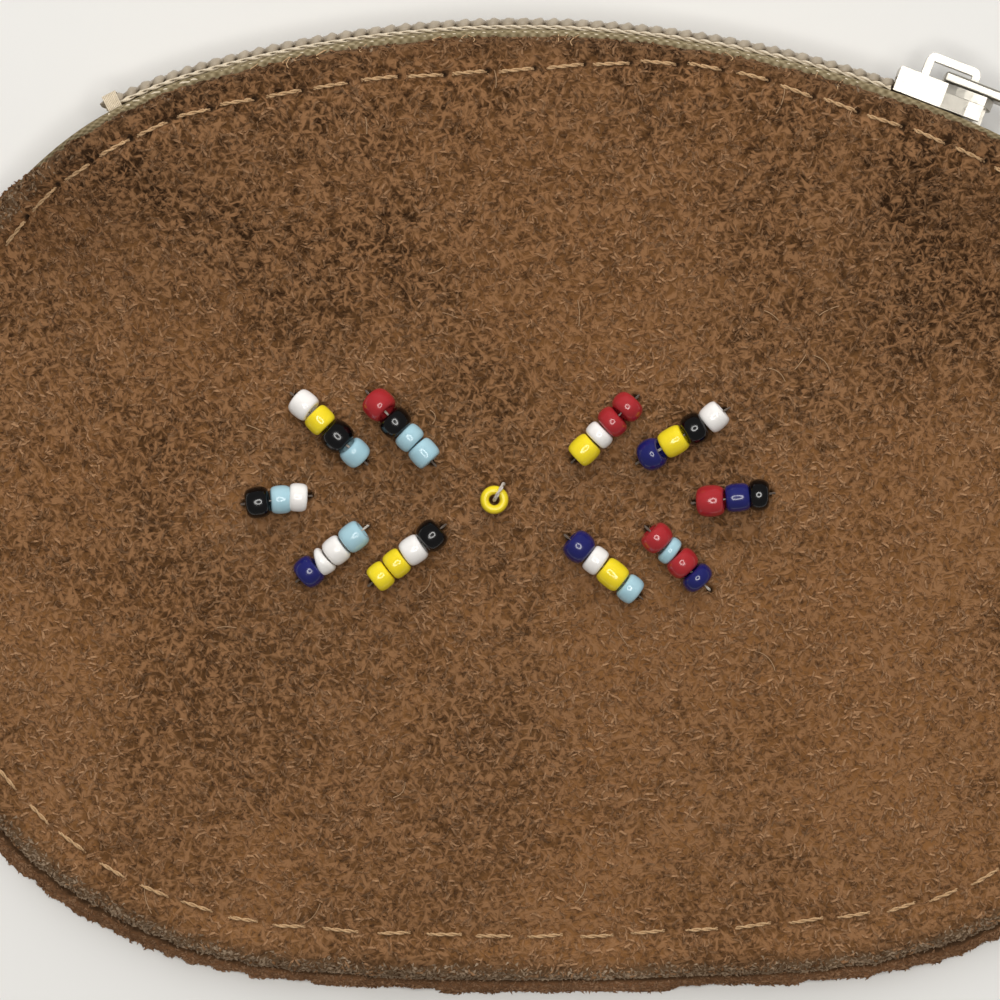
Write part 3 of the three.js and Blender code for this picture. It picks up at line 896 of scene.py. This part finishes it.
# Sheet, name, finish, fibres, where they grow, how many to a square millimetre, length, tilt, seed.
FIBRE_LAYERS = (
    (front_suede, "front_nap_short", "nap_brown", bent_fibres, "nap", 3.8, (0.42, 0.8), 0.2, 11),
    (front_suede, "front_nap_long", "nap_tan", curled_fibres, "tufts", 6.4, (0.55, 1.1), 0.25, 23),
    (back_suede, "back_nap", "nap_brown", bent_fibres, "nap", 1.6, (0.4, 0.9), 0.1, 37),
    (front_suede, "front_edge_fuzz", "fuzz_grey", bent_fibres, "cut_edge", 16.0, (0.3, 0.8), 0.7, 41),
    (back_suede, "back_edge_fuzz", "fuzz_brown", bent_fibres, "cut_edge", 16.0, (0.3, 0.75), 0.8, 53),
)


def fibre_finish(name, dark, light):
    material, tree = new_finish(name, roughness=0.9, specular=0.15)
    place = object_place(tree)
    share = maths(tree, "MULTIPLY", stored(tree, "shade"), SHADE_WEIGHT)
    share = plus(tree, share, felt_streaks(tree, place), CURL_WEIGHT)
    share = plus(tree, share, hide_tone(tree, place), TONE_WEIGHT)
    colour = warmed(tree, place, blend_colours(tree, share, dark, light))
    look(tree, "Base Color", colour)
    return material


fibre_finishes = {name: fibre_finish(name, *tones) for name, tones in FIBRE_TONES.items()}
for sheet, name, finish, *growth in FIBRE_LAYERS:
    scatter(sheet, name, fibre_finishes[finish], *growth)

# %% [markdown]
# Threads are curves with a round section, turned into meshes. Sewing thread is two plies twisted together,
# so a helper winds two thin curves round each route. The height of the leather under a point comes from a
# ray shot straight down on the worked sheet.

# %% Thread helpers
SKY = 100

leather_rays = BVHTree.FromObject(front_suede, bpy.context.evaluated_depsgraph_get())


def leather_top(spot):
    """Height of the front's leather, or None beside it."""
    hit = leather_rays.ray_cast(Vector((spot.x, spot.y, SKY)) * MM, Vector((0, 0, -1)))[0]
    return hit.z / MM if hit else None


def tubes(name, routes, radius, material, stood_for=None, roundness=1, radii=(1.0,)):
    """Round threads along routes given in millimetres, as one mesh."""
    curve = bpy.data.curves.new(name, "CURVE")
    curve.dimensions = "3D"
    curve.bevel_depth = radius * MM
    curve.bevel_resolution = roundness
    curve.use_fill_caps = True
    for route in routes:
        spline = curve.splines.new("POLY")
        spline.points.add(len(route) - 1)
        for i, point in enumerate(route):
            spline.points[i].co = (*(Vector(point) * MM), 1)
            spline.points[i].radius = radii[i % len(radii)]
    drawn = show(name + "_line", curve)
    piece = show(name, evaluated_mesh(drawn))
    bpy.data.objects.remove(drawn)
    for face in piece.data.polygons:
        face.use_smooth = True
    dress(piece, material, stood_for)
    return piece


def smooth_route(points, steps):
    """Points closely spaced on a smooth line through the given ones."""
    route = []
    for i in range(len(points) - 1):
        a, b = points[i], points[i + 1]
        before = points[i - 1] if i > 0 else a
        after = points[i + 2] if i + 2 < len(points) else b
        for k in range(steps):
            t = k / steps
            route.append(0.5 * (2 * a + (b - before) * t + (2 * before - 5 * a + 4 * b - after) * t * t
                                + (3 * a - before - 3 * b + after) * t * t * t))
    route.append(points[-1])
    return route


def two_ply(route, offset, pitch):
    """Two routes wound round one, half a turn apart."""
    plies = ([], [])
    walked = 0
    for i, point in enumerate(route):
        before, after = route[max(i - 1, 0)], route[min(i + 1, len(route) - 1)]
        walked += (point - before).length
        forward = (after - before).normalized()
        side = forward.orthogonal().normalized()
        angle = TURN * walked / pitch
        arm = (Matrix.Rotation(angle, 3, forward) @ side) * offset
        plies[0].append(point + arm)
        plies[1].append(point - arm)
    return plies


print("leather at the middle in mm:", round(leather_top(Vector((0, 0))), 2))

# %% [markdown]
# The stitches are cream cotton. Each comes up through one hole, lies along the leather in a low arch and
# goes down the next. The ends are sunk, and the plies show as a fine twist.

# %% Stitches
STITCH_PLY = 0.09
STITCH_TWIST = 1.9
STITCH_ARCH = 0.17
ARCH_POWER = 6
STITCH_SINK = 0.25
STITCH_STEPS = 14
COTTON_TONES = (paint(160, 122, 84), paint(216, 182, 140))
COTTON_BUMP = (0.5, 0.05 * MM)

cotton = grainy_finish(
    "cream_cotton", COTTON_TONES, scale=4000, detail=3.0, bump=COTTON_BUMP, roughness=0.85, specular=0.2,
)


def back_level(spot):
    return STITCH_ARCH + 2 * STITCH_PLY


def stitch_route(first, last, level_at, up):
    route = []
    for i in range(STITCH_STEPS + 1):
        share = i / STITCH_STEPS
        spot = first.lerp(last, share)
        arch = 1 - (2 * share - 1) ** ARCH_POWER
        height = level_at(spot) + up * (STITCH_ARCH * arch - STITCH_SINK * (1 - arch))
        route.append(Vector((spot.x, spot.y, height)))
    return route


def sew(name, stitches, level_at, up):
    routes = []
    for first, last in stitches:
        routes.extend(two_ply(stitch_route(first, last, level_at, up), STITCH_PLY, STITCH_TWIST))
    tubes(name, routes, STITCH_PLY, cotton)
    print(name, "sewn:", len(stitches))


sew("zip_seam_stitches", zip_stitches, leather_top, 1)
sew("side_seam_stitches", side_stitches, leather_top, 1)
sew("back_seam_stitches", side_stitches + zip_stitches, back_level, -1)

# %% [markdown]
# Each zip tape is a woven strip. It lies under its coil, turns down beside the slider's path and runs on
# inside the leather, where the seam holds it. A flat grid is laid out along and across the tape and each
# of its points is moved to its place, so that the grid's UV map follows the cloth and the weave can be
# drawn on it. Solidify gives it its thickness.

# %% Zip tapes
TAPE_INNER = 0.8
TAPE_BEND = 3.55
TAPE_OUT = -1.6
TAPE_CORNER = 0.1
CORNER_FADE = 0.3
TAPE_PUCKER = 0.12
PUCKER_START = 0.45
PUCKER_END = 1.3
PUCKER_FADE = 0.4
TAPE_DROP = 5.0
TAPE_HEM = 0.8
TAPE_EASE = 14
TAPE_LEAN = 0.8
TAPE_TAIL = 9
TAPE_THICK = 0.45
TAPE_ACROSS = 16
TAPE_STEP = 0.7
TAPE_START = -MOUTH_LEFT - TAPE_TAIL
TAPE_LENGTH = MOUTH_RIGHT + TAPE_TAIL - TAPE_START


def tape_place(along, share, side):
    """The tape's middle layer: the first part lies under the coil, the rest goes down the leather."""
    full = mouth_open(along + math.copysign(TAPE_EASE, along))
    foot = TAPE_HEM + (TAPE_DROP - TAPE_HEM) * full
    level_part = TAPE_BEND - TAPE_INNER
    reach = share * (level_part + foot)
    level = min(reach, level_part)
    gathered = smooth(level, level_part * PUCKER_START, level_part * PUCKER_END)
    pucker = TAPE_PUCKER * math.sin(math.pi * gathered) * full
    if reach <= level_part:
        return zip_point(along, TAPE_OUT + pucker, side * (TAPE_INNER + reach))
    down = reach - level_part
    lean = TAPE_LEAN * full * down / foot if side > 0 else 0
    corner = TAPE_CORNER * (1 - math.exp(-down / CORNER_FADE))
    pucker *= math.exp(-down / PUCKER_FADE)
    return zip_point(along, TAPE_OUT - down + pucker, side * (TAPE_BEND + corner - lean))


def tape_strip(name, side):
    strip = bmesh.new()
    strip.loops.layers.uv.new("cloth")
    steps = round(TAPE_LENGTH / TAPE_STEP)
    bmesh.ops.create_grid(strip, x_segments=steps, y_segments=TAPE_ACROSS, size=0.5, calc_uvs=True)
    for v in strip.verts:
        along = TAPE_START + (v.co.x + 0.5) * TAPE_LENGTH
        v.co = tape_place(along, v.co.y + 0.5, side) * MM
    piece = show(name, mesh_from(name, strip, rounded=True))
    solid = piece.modifiers.new("cloth_thickness", "SOLIDIFY")
    solid.thickness = TAPE_THICK * MM
    solid.offset = 0
    apply_modifiers(piece)
    return piece


front_tape = tape_strip("front_tape", 1)
back_tape = tape_strip("back_tape", -1)
print("tape length in mm:", round(TAPE_LENGTH, 1))

# %% [markdown]
# The weave is a fine check of warp and weft: two waves along the UV map's axes, one for each set of threads,
# with the one on top chosen by their product. It colours the cloth and lifts the bump.

# %% Tape finish
WARP_THREADS = 24
WEFT_PER_MM = 2.4
TAPE_TONES = (paint(132, 118, 88), paint(176, 160, 128))
TAPE_SHADOW = paint(104, 90, 64)

tape_cloth, tree = new_finish("tape_cloth", roughness=0.9, specular=0.15)
cloth = node(tree, "ShaderNodeUVMap", uv_map="cloth").outputs["UV"]
parts = node(tree, "ShaderNodeSeparateXYZ", {"Vector": cloth})
waves = []
for axis, threads in (("X", WEFT_PER_MM * TAPE_LENGTH), ("Y", WARP_THREADS)):
    waves.append(maths(tree, "SINE", maths(tree, "MULTIPLY", parts.outputs[axis], math.pi * threads)))
weave = remap(tree, maths(tree, "MULTIPLY", *waves), -1.0, 1.0)
soil = grain(tree, object_place(tree), scale=500, detail=4.0)
two_tone(tree, weave, (TAPE_SHADOW, blend_colours(tree, soil, *TAPE_TONES)))
relief(tree, weave, strength=0.8, depth=0.1 * MM)
dress(front_tape, tape_cloth, "front_zip_tape")
dress(back_tape, tape_cloth, "back_zip_tape")
print("tape finish on both tapes")

# %% [markdown]
# A coil zip's teeth are one nylon filament wound into a flat spiral, sewn to the tape along one side. The
# spiral is worked out turn by turn: the heads reach over the middle of the chain, where they lie
# between the heads of the other coil, half a pitch on. The filament is thicker on the side of the tape.

# %% Coils
CHAIN_START = -36
CHAIN_END = 36.1
TOOTH_PITCH = 1.25
HEAD = -0.3
FLANK = 1.7
COIL_HEIGHT = 1.2
FILAMENT = 0.44
FILAMENT_MEAN = 0.8
FILAMENT_SWELL = 0.2
COIL_STEPS = 16
SIDES = ((1, "front"), (-1, "back"))
NYLON_TONES = (paint(144, 132, 114), paint(184, 171, 152))
NYLON_ROUGHNESS = (0.35, 0.6)

nylon, tree = new_finish("grey_nylon", roughness=0.45, specular=0.4)
soil = grain(tree, object_place(tree), scale=700, detail=3.0)
two_tone(tree, soil, NYLON_TONES)
look(tree, "Roughness", remap(tree, soil, *NOISE_BAND, *NYLON_ROUGHNESS))


def coil_route(side):
    middle = (HEAD + FLANK) / 2
    reach = (FLANK - HEAD) / 2 - FILAMENT
    drop = COIL_HEIGHT / 2 - FILAMENT
    start = CHAIN_START + (0 if side > 0 else TOOTH_PITCH / 2)
    turns = int((CHAIN_END - start) / TOOTH_PITCH)
    route = []
    for i in range(turns * COIL_STEPS + 1):
        turn = i / COIL_STEPS
        angle = TURN * turn
        across = middle + reach * math.cos(angle)
        out = -COIL_HEIGHT / 2 + drop * math.sin(angle)
        route.append(zip_point(start + turn * TOOTH_PITCH, out, side * across))
    return route


coil_turn = [TURN * i / COIL_STEPS for i in range(COIL_STEPS)]
filament_radii = [FILAMENT_MEAN + FILAMENT_SWELL * math.cos(angle) for angle in coil_turn]
for side, name in SIDES:
    tubes(f"{name}_coil", [coil_route(side)], FILAMENT, nylon, f"{name}_zip_coil",
          radii=filament_radii)
print("turns in a coil:", int((CHAIN_END - CHAIN_START) / TOOTH_PITCH))

# %% [markdown]
# Two rows of thread sew the coil to its tape. They show in the photo as a knotted cream cord between the
# teeth and the leather, one lump to each tooth. The tape's own edge is a plain twisted yarn. Where the
# chain begins, a tack of close stitches over both coils stops the slider.

# %% Binding cord, selvedge and tack
CORD_PLY = 0.11
CORD_LUMPS = [0.55, 0.8, 1.15, 1.3, 1.15, 0.8]
CORD_OUT = -0.95
CORD_ACROSS = 1.6
CORD_END = CHAIN_END - 4
SELVEDGE_PLY = 0.095
SELVEDGE_TWIST = 1.7
SELVEDGE_OUT = -1.62
SELVEDGE_ACROSS = 3.55
SELVEDGE_STEP = 0.5
SELVEDGE_POINTS = 137
TACK_TURNS = 9
TACK_PLY = 0.07
TACK_START = 0.2
TACK_STEPS = 4
TACK_SHAPE = ((-2.5, -1.6), (-2.3, -0.5), (-1.6, 0.1), (0, 0.16), (1.6, 0.1), (2.3, -0.5), (2.5, -1.6))
YARN_TONES = (paint(198, 182, 156), paint(238, 225, 202))
YARN_BUMP = (0.6, 0.08 * MM)

yarn = grainy_finish(
    "cream_yarn", YARN_TONES, scale=2500, detail=3.0, bump=YARN_BUMP, roughness=0.9, specular=0.15,
)
for side, name in SIDES:
    line = []
    place = CHAIN_START
    while place < CORD_END:
        line.append(zip_point(place, CORD_OUT, side * CORD_ACROSS))
        place += TOOTH_PITCH / len(CORD_LUMPS)
    tubes(f"{name}_binding_cord", two_ply(line, CORD_PLY, 2 * TOOTH_PITCH), CORD_PLY, yarn,
          radii=CORD_LUMPS)
    line = []
    for i in range(SELVEDGE_POINTS):
        line.append(zip_point(CHAIN_START + i * SELVEDGE_STEP, SELVEDGE_OUT, side * SELVEDGE_ACROSS))
    tubes(f"{name}_selvedge", two_ply(line, SELVEDGE_PLY, SELVEDGE_TWIST), SELVEDGE_PLY, yarn)

tack = []
for i in range(TACK_TURNS):
    along = CHAIN_START + TACK_START + i * 2 * TACK_PLY
    turn = [zip_point(along, out, across) for across, out in TACK_SHAPE]
    tack.append(smooth_route(turn, TACK_STEPS))
tubes("end_tack", tack, TACK_PLY, yarn)
print("turns in the tack:", len(tack))

# %% [markdown]
# The tape's edge frays, and loose ends of its yarn lie over the leather. Here and there a long pale hair
# lies on the suede, a thin bowed curve a few millimetres long. Some hairs lie where the photo shows them,
# and the rest by chance.

# %% Frayed yarn and long hairs
FRAYS = 18
FRAY_END = CHAIN_END - 6
FRAY_SLIP = 1.1
FRAY_SWEEP = 2.2
FRAY_START = 1.7
FRAY_REACHES = (0.35, 0.5, 0.7, 1.0)
FRAY_SHARES = (0.0, 0.25, 0.5, 0.75, 1.0)
FRAY_STEPS = 3
FRAY_LIFT = 0.1
FRAY_PLY = 0.045
SEEN_HAIRS = (
    (18.8, 34.9, 18.1, 32.6, 0.2), (17.5, 11.5, 19.0, 10.4, 0.3), (20.7, 12.6, 19.8, 11.4, 0.05),
    (21.3, 12.6, 22.8, 11.1, 0.35), (17.2, 16.3, 18.4, 15.5, 0.1), (21.8, 15.9, 23.5, 16.7, 0.1),
    (7.7, 26.7, 8.0, 27.6, 0.05), (-26.1, 6.8, -24.7, 6.2, 0.05), (-16.0, 32.3, -15.9, 30.9, 0.05),
    (-5.3, 36.2, -5.2, 34.7, 0.1),
)
HAIRS = 26
HAIR_STEPS = 7
HAIR_FIELD = (52, 34)
HAIR_LENGTHS = (1.0, 3.0)
HAIR_BOW = 0.4
HAIR_LIFT = 0.12
HAIR_PLY = 0.05
HAIR_TONES = (paint(146, 112, 80), paint(190, 156, 120))

hair_finish = grainy_finish("pale_hair", HAIR_TONES, scale=200, roughness=0.8, specular=0.3)


def laid_on(spots, lift):
    """The spots raised to lie on the leather, without those that fall beside it."""
    laid = []
    for spot in spots:
        level = leather_top(spot)
        if level:
            laid.append(Vector((spot.x, spot.y, level + lift)))
    return laid


def bowed(start, end, bow):
    beside = Vector((start.y - end.y, end.x - start.x)).normalized()
    shares = [i / (HAIR_STEPS - 1) for i in range(HAIR_STEPS)]
    spots = [start.lerp(end, share) + beside * bow * (1 - (2 * share - 1) ** 2) for share in shares]
    return laid_on(spots, HAIR_LIFT)


chance = random.Random(71)
frays = []
for _ in range(FRAYS):
    along = chance.uniform(CHAIN_START, FRAY_END)
    slip = chance.uniform(-FRAY_SLIP, FRAY_SLIP)
    reach = chance.choice(FRAY_REACHES)
    spots = []
    for share in FRAY_SHARES:
        point, outward = edge_at(along + slip * math.sin(share * FRAY_SWEEP))
        spots.append(point - outward * (FRAY_START + reach * share))
    fray = [zip_point(along, SELVEDGE_OUT, SELVEDGE_ACROSS)] + laid_on(spots, FRAY_LIFT)
    frays.append(smooth_route(fray, FRAY_STEPS))
tubes("frayed_yarn", frays, FRAY_PLY, cotton)

chance = random.Random(29)
hairs = [bowed(Vector(seen[:2]), Vector(seen[2:4]), seen[4]) for seen in SEEN_HAIRS]
while len(hairs) < HAIRS:
    start = Vector([chance.uniform(-most, most) for most in HAIR_FIELD])
    heading = chance.uniform(0, TURN)
    length = chance.uniform(*HAIR_LENGTHS)
    end = start + Vector((math.cos(heading), math.sin(heading))) * length
    hair = bowed(start, end, chance.uniform(-HAIR_BOW, HAIR_BOW))
    if len(hair) == HAIR_STEPS:
        hairs.append(hair)
tubes("long_hairs", hairs, HAIR_PLY, hair_finish, roundness=0)
print("frayed ends:", len(frays), "hairs:", len(hairs))

# %% [markdown]
# The slider and its pull are cast metal, plated and a little rubbed. Their CAD shapes are right, so they
# stay. A weld joins their loose triangles and a small bevel rounds the edges, so that they catch light.

# %% Slider and pull
EDGE_ROUND = 0.12 * MM
METAL_TONES = (paint(172, 166, 154), paint(208, 204, 194))
METAL_ROUGHNESS = (0.24, 0.45)

plated, tree = new_finish("plated_metal", roughness=0.32, more={"Metallic": 1.0})
place = object_place(tree)
rubbed = grain(tree, place, scale=900, detail=5.0, roughness=0.6)
two_tone(tree, rubbed, METAL_TONES)
look(tree, "Roughness", remap(tree, rubbed, *NOISE_BAND, *METAL_ROUGHNESS))
relief(tree, grain(tree, place, scale=2500), strength=0.15, depth=0.05 * MM)
for name in ("zip_slider", "zip_pull"):
    part = nodes[name]
    part.data.materials.clear()
    part.data.materials.append(plated)
    weld = part.modifiers.new("weld", "WELD")
    weld.merge_threshold = WELD_GAP * MM
    rounding = part.modifiers.new("rounded_edges", "BEVEL")
    rounding.width = EDGE_ROUND
    rounding.segments = 2
    rounding.limit_method = "ANGLE"
print("metal finish on slider and pull")

# %% [markdown]
# Seed beads are slices of drawn glass tube, tumbled hot until their ends are round. The dark and red ones
# are rounder; the white, yellow and pale blue ones keep more of the tube's straight side. The wall's
# section is a circle squared up a little and drawn out to the bead's length, spun once round the hole.

# %% Spin the beads
BEAD_HOLE = 0.85
BEAD_STEPS = 32
SECTION_POINTS = 24
ROUND = {"diameter": 2.7, "crest": 0.76, "squareness": 2.25}
DRUM = {"diameter": 2.4, "crest": 0.78, "squareness": 2.6}
SHAPES = {"white": DRUM, "yellow": DRUM, "sky": DRUM, "black": ROUND, "navy": ROUND, "red": ROUND}


def squared(value, power):
    return math.copysign(abs(value) ** (2 / power), value)


def spun_bead(name, length, shape, wedge, stand):
    """Crest is the radius at which the bead's ends stand highest; wedge makes one side longer."""
    radius, crest, squareness = shape["diameter"] / 2, shape["crest"], shape["squareness"]
    bead = bmesh.new()
    bmesh.ops.create_circle(bead, segments=SECTION_POINTS, radius=1)
    for v in bead.verts:
        across, up = squared(v.co.x, squareness), squared(v.co.y, squareness)
        wall = radius - crest if across > 0 else crest - BEAD_HOLE / 2
        v.co = (crest + wall * across, 0, length / 2 * up)
    bmesh.ops.spin(
        bead, geom=bead.verts[:] + bead.edges[:], cent=(0, 0, 0), axis=(0, 0, 1), angle=TURN,
        steps=BEAD_STEPS, use_merge=True,
    )
    bmesh.ops.remove_doubles(bead, verts=bead.verts, dist=WELD_GAP)
    bmesh.ops.recalc_face_normals(bead, faces=bead.faces)
    for v in bead.verts:
        v.co.z *= 1 + wedge * v.co.x / radius
    bmesh.ops.scale(bead, vec=(MM, MM, MM), verts=bead.verts)
    bmesh.ops.transform(bead, matrix=stand, verts=bead.verts)
    return show(name, mesh_from(name, bead, rounded=True))


print("bead shapes: drum", DRUM["diameter"], "mm and round", ROUND["diameter"], "mm across")

# %% [markdown]
# The glass is opaque and glossy, with a thin clear skin. Its colour is a touch uneven, as poured glass is,
# and the skin has faint dimples, which break up the lamp's ring.

# %% Glass finishes
GLASS = {
    "white": (paint(242, 237, 232), paint(250, 247, 243)),
    "yellow": (paint(240, 210, 30), paint(248, 227, 48)),
    "black": (paint(2, 2, 3), paint(8, 7, 9)),
    "sky": (paint(154, 195, 209), paint(178, 211, 221)),
    "navy": (paint(26, 28, 88), paint(34, 36, 106)),
    "red": (paint(152, 34, 39), paint(180, 48, 53)),
}
GLASS_ROUGHNESS = (0.12, 0.24)
CLEAR_SKIN = {"Coat Weight": 0.35, "Coat Roughness": 0.06}


def glass_finish(colour, tones):
    material, tree = new_finish(f"glass_{colour}", roughness=0.16, more=CLEAR_SKIN)
    place = object_place(tree)
    two_tone(tree, grain(tree, place, scale=600, detail=3.0, roughness=0.6), tones)
    dimples = grain(tree, place, scale=1500)
    look(tree, "Roughness", remap(tree, dimples, *NOISE_BAND, *GLASS_ROUGHNESS))
    relief(tree, dimples, strength=0.12, depth=0.08 * MM)
    return material


glass = {colour: glass_finish(colour, tones) for colour, tones in GLASS.items()}
print("glass colours:", ", ".join(glass))

# %% [markdown]
# The thread is slack, so a bead can nod towards its neighbour until its hole shows, or turn a little on the
# leather. The beads that do so clearly in the photo are named here, and the rest lean by chance.

# %% String the beads
LEAN = 5
NOD = {
    "upper_left_inner_1_red": 20, "upper_left_outer_4_sky": -16, "upper_right_outer_4_navy": -24,
    "right_1_red": 14, "left_2_sky": -10, "left_3_white": -10, "upper_right_inner_1_red": 12,
    "upper_right_outer_3_yellow": -9, "upper_left_outer_1_white": 12,
}
SWING = {
    "upper_right_outer_1_white": 10, "left_3_white": -10, "right_3_black": -8, "lower_right_outer_2_sky": 7,
    "lower_left_outer_2_white": -7,
}
WEDGE = {"lower_left_outer_2_white": -0.5}
SLIM = ("right_2_navy",)
SQUARENESS_SPREAD = (-0.15, 0.2)
MIDDLE_BEAD = "bead_centre_yellow"
UP = Vector((0, 0, 1))

chance = random.Random(13)


def string_bead(node_name, axis):
    bead_name = node_name.removeprefix("bead_")
    colour = node_name.rsplit("_", 1)[1]
    nod = math.radians(NOD.get(bead_name, chance.uniform(-LEAN, LEAN)))
    swing = math.radians(SWING.get(bead_name, chance.uniform(-LEAN, LEAN)))
    stand = Matrix.Translation(bead_centre(node_name, axis) * MM)
    if node_name != MIDDLE_BEAD:
        stand = stand @ Matrix.Rotation(swing, 4, "Z") @ Matrix.Rotation(nod, 4, axis.cross(UP))
    stand = stand @ axis.to_track_quat("Z", "Y").to_matrix().to_4x4()
    shape = dict(DRUM if bead_name in SLIM else SHAPES[colour])
    shape["squareness"] += chance.uniform(*SQUARENESS_SPREAD)
    length = span_along(node_name, axis)
    bead = spun_bead("glass_" + node_name, length, shape, WEDGE.get(bead_name, 0), stand)
    dress(bead, glass[colour], node_name)


for strand, beads in strands.items():
    for name in beads:
        string_bead(name, strand_axis(beads))
string_bead(MIDDLE_BEAD, UP)
print("beads strung:", sum(len(beads) for beads in strands.values()) + 1)

# %% [markdown]
# The thread runs through a strand's beads and down a needle hole past each end, darkening towards the hole
# with soil and painted shade. The middle bead is held by a thread that comes up its hole, over the rim and
# back down beside it.

# %% Bead threads
BEAD_PLY = 0.055
RING_PLY = 0.085
BEAD_TWIST = 1.3
THREAD_STEPS = 8
BEND_SHARE = 0.75
BEND_DROP = 0.45
HOLE_DROP = 0.3
SOILED_AND_SHADED = 0.85
SOIL_SHADE_BAND = (-0.3, 0.05)
THREAD_TONES = (paint(176, 164, 150), paint(226, 218, 208))
SOIL_SHADE_COLOUR = paint(70, 52, 38)
LOOP_BEARING = math.radians(60)
LOOP = ((0, -0.85), (0, 0), (0.24, 0.95), (0.78, 1.12), (1.32, 0.85), (1.52, 0), (1.5, -0.75))

waxed, tree = new_finish("waxed_thread", roughness=0.6, specular=0.3)
fluff = grain(tree, object_place(tree), scale=3000, detail=3.0)
# The thread's ends are darkened: partly real soil, partly painted shade where it dives into the needle hole.
two_tone(tree, stored(tree, "soil"), (blend_colours(tree, fluff, *THREAD_TONES), SOIL_SHADE_COLOUR))


def bead_thread(name, knots, ply, stood_for):
    plies = two_ply(smooth_route(knots, THREAD_STEPS), ply, BEAD_TWIST)
    return tubes(name, plies, ply, waxed, stood_for)


def thread_end(exit_point, way, reach):
    """From where the thread leaves a bead, down into its needle hole."""
    bend = exit_point + way * reach * BEND_SHARE
    hole = exit_point + way * reach
    bend.z = exit_point.z - BEND_DROP
    hole.z = leather_top(hole) - HOLE_DROP
    return [exit_point, bend, hole]


for strand, beads in strands.items():
    first, last, axis = strand_ends(beads)
    start = thread_end(first, -axis, THREAD_REACH)
    end = thread_end(last, axis, PALE_ENDS.get(strand, THREAD_REACH))
    piece = bead_thread(f"strand_thread_{strand}", start[::-1] + end, BEAD_PLY, f"thread_{strand}")
    # Soil and painted shade on the thread, growing past the end beads.
    soil_and_shade = piece.data.attributes.new("soil", "FLOAT", "POINT")
    for v in piece.data.vertices:
        spot = v.co / MM
        past = (first - spot).dot(axis)
        if strand not in PALE_ENDS:
            past = max(past, (spot - last).dot(axis))
        soil_and_shade.data[v.index].value = SOILED_AND_SHADED * smooth(past, *SOIL_SHADE_BAND)

middle = centre_of(MIDDLE_BEAD)
toward = Vector((math.cos(LOOP_BEARING), math.sin(LOOP_BEARING), 0))
loop = [middle + toward * along + UP * height for along, height in LOOP]
bead_thread("ring_bead_thread", loop, RING_PLY, "thread_centre")
print("threads:", len(strands) + 1)
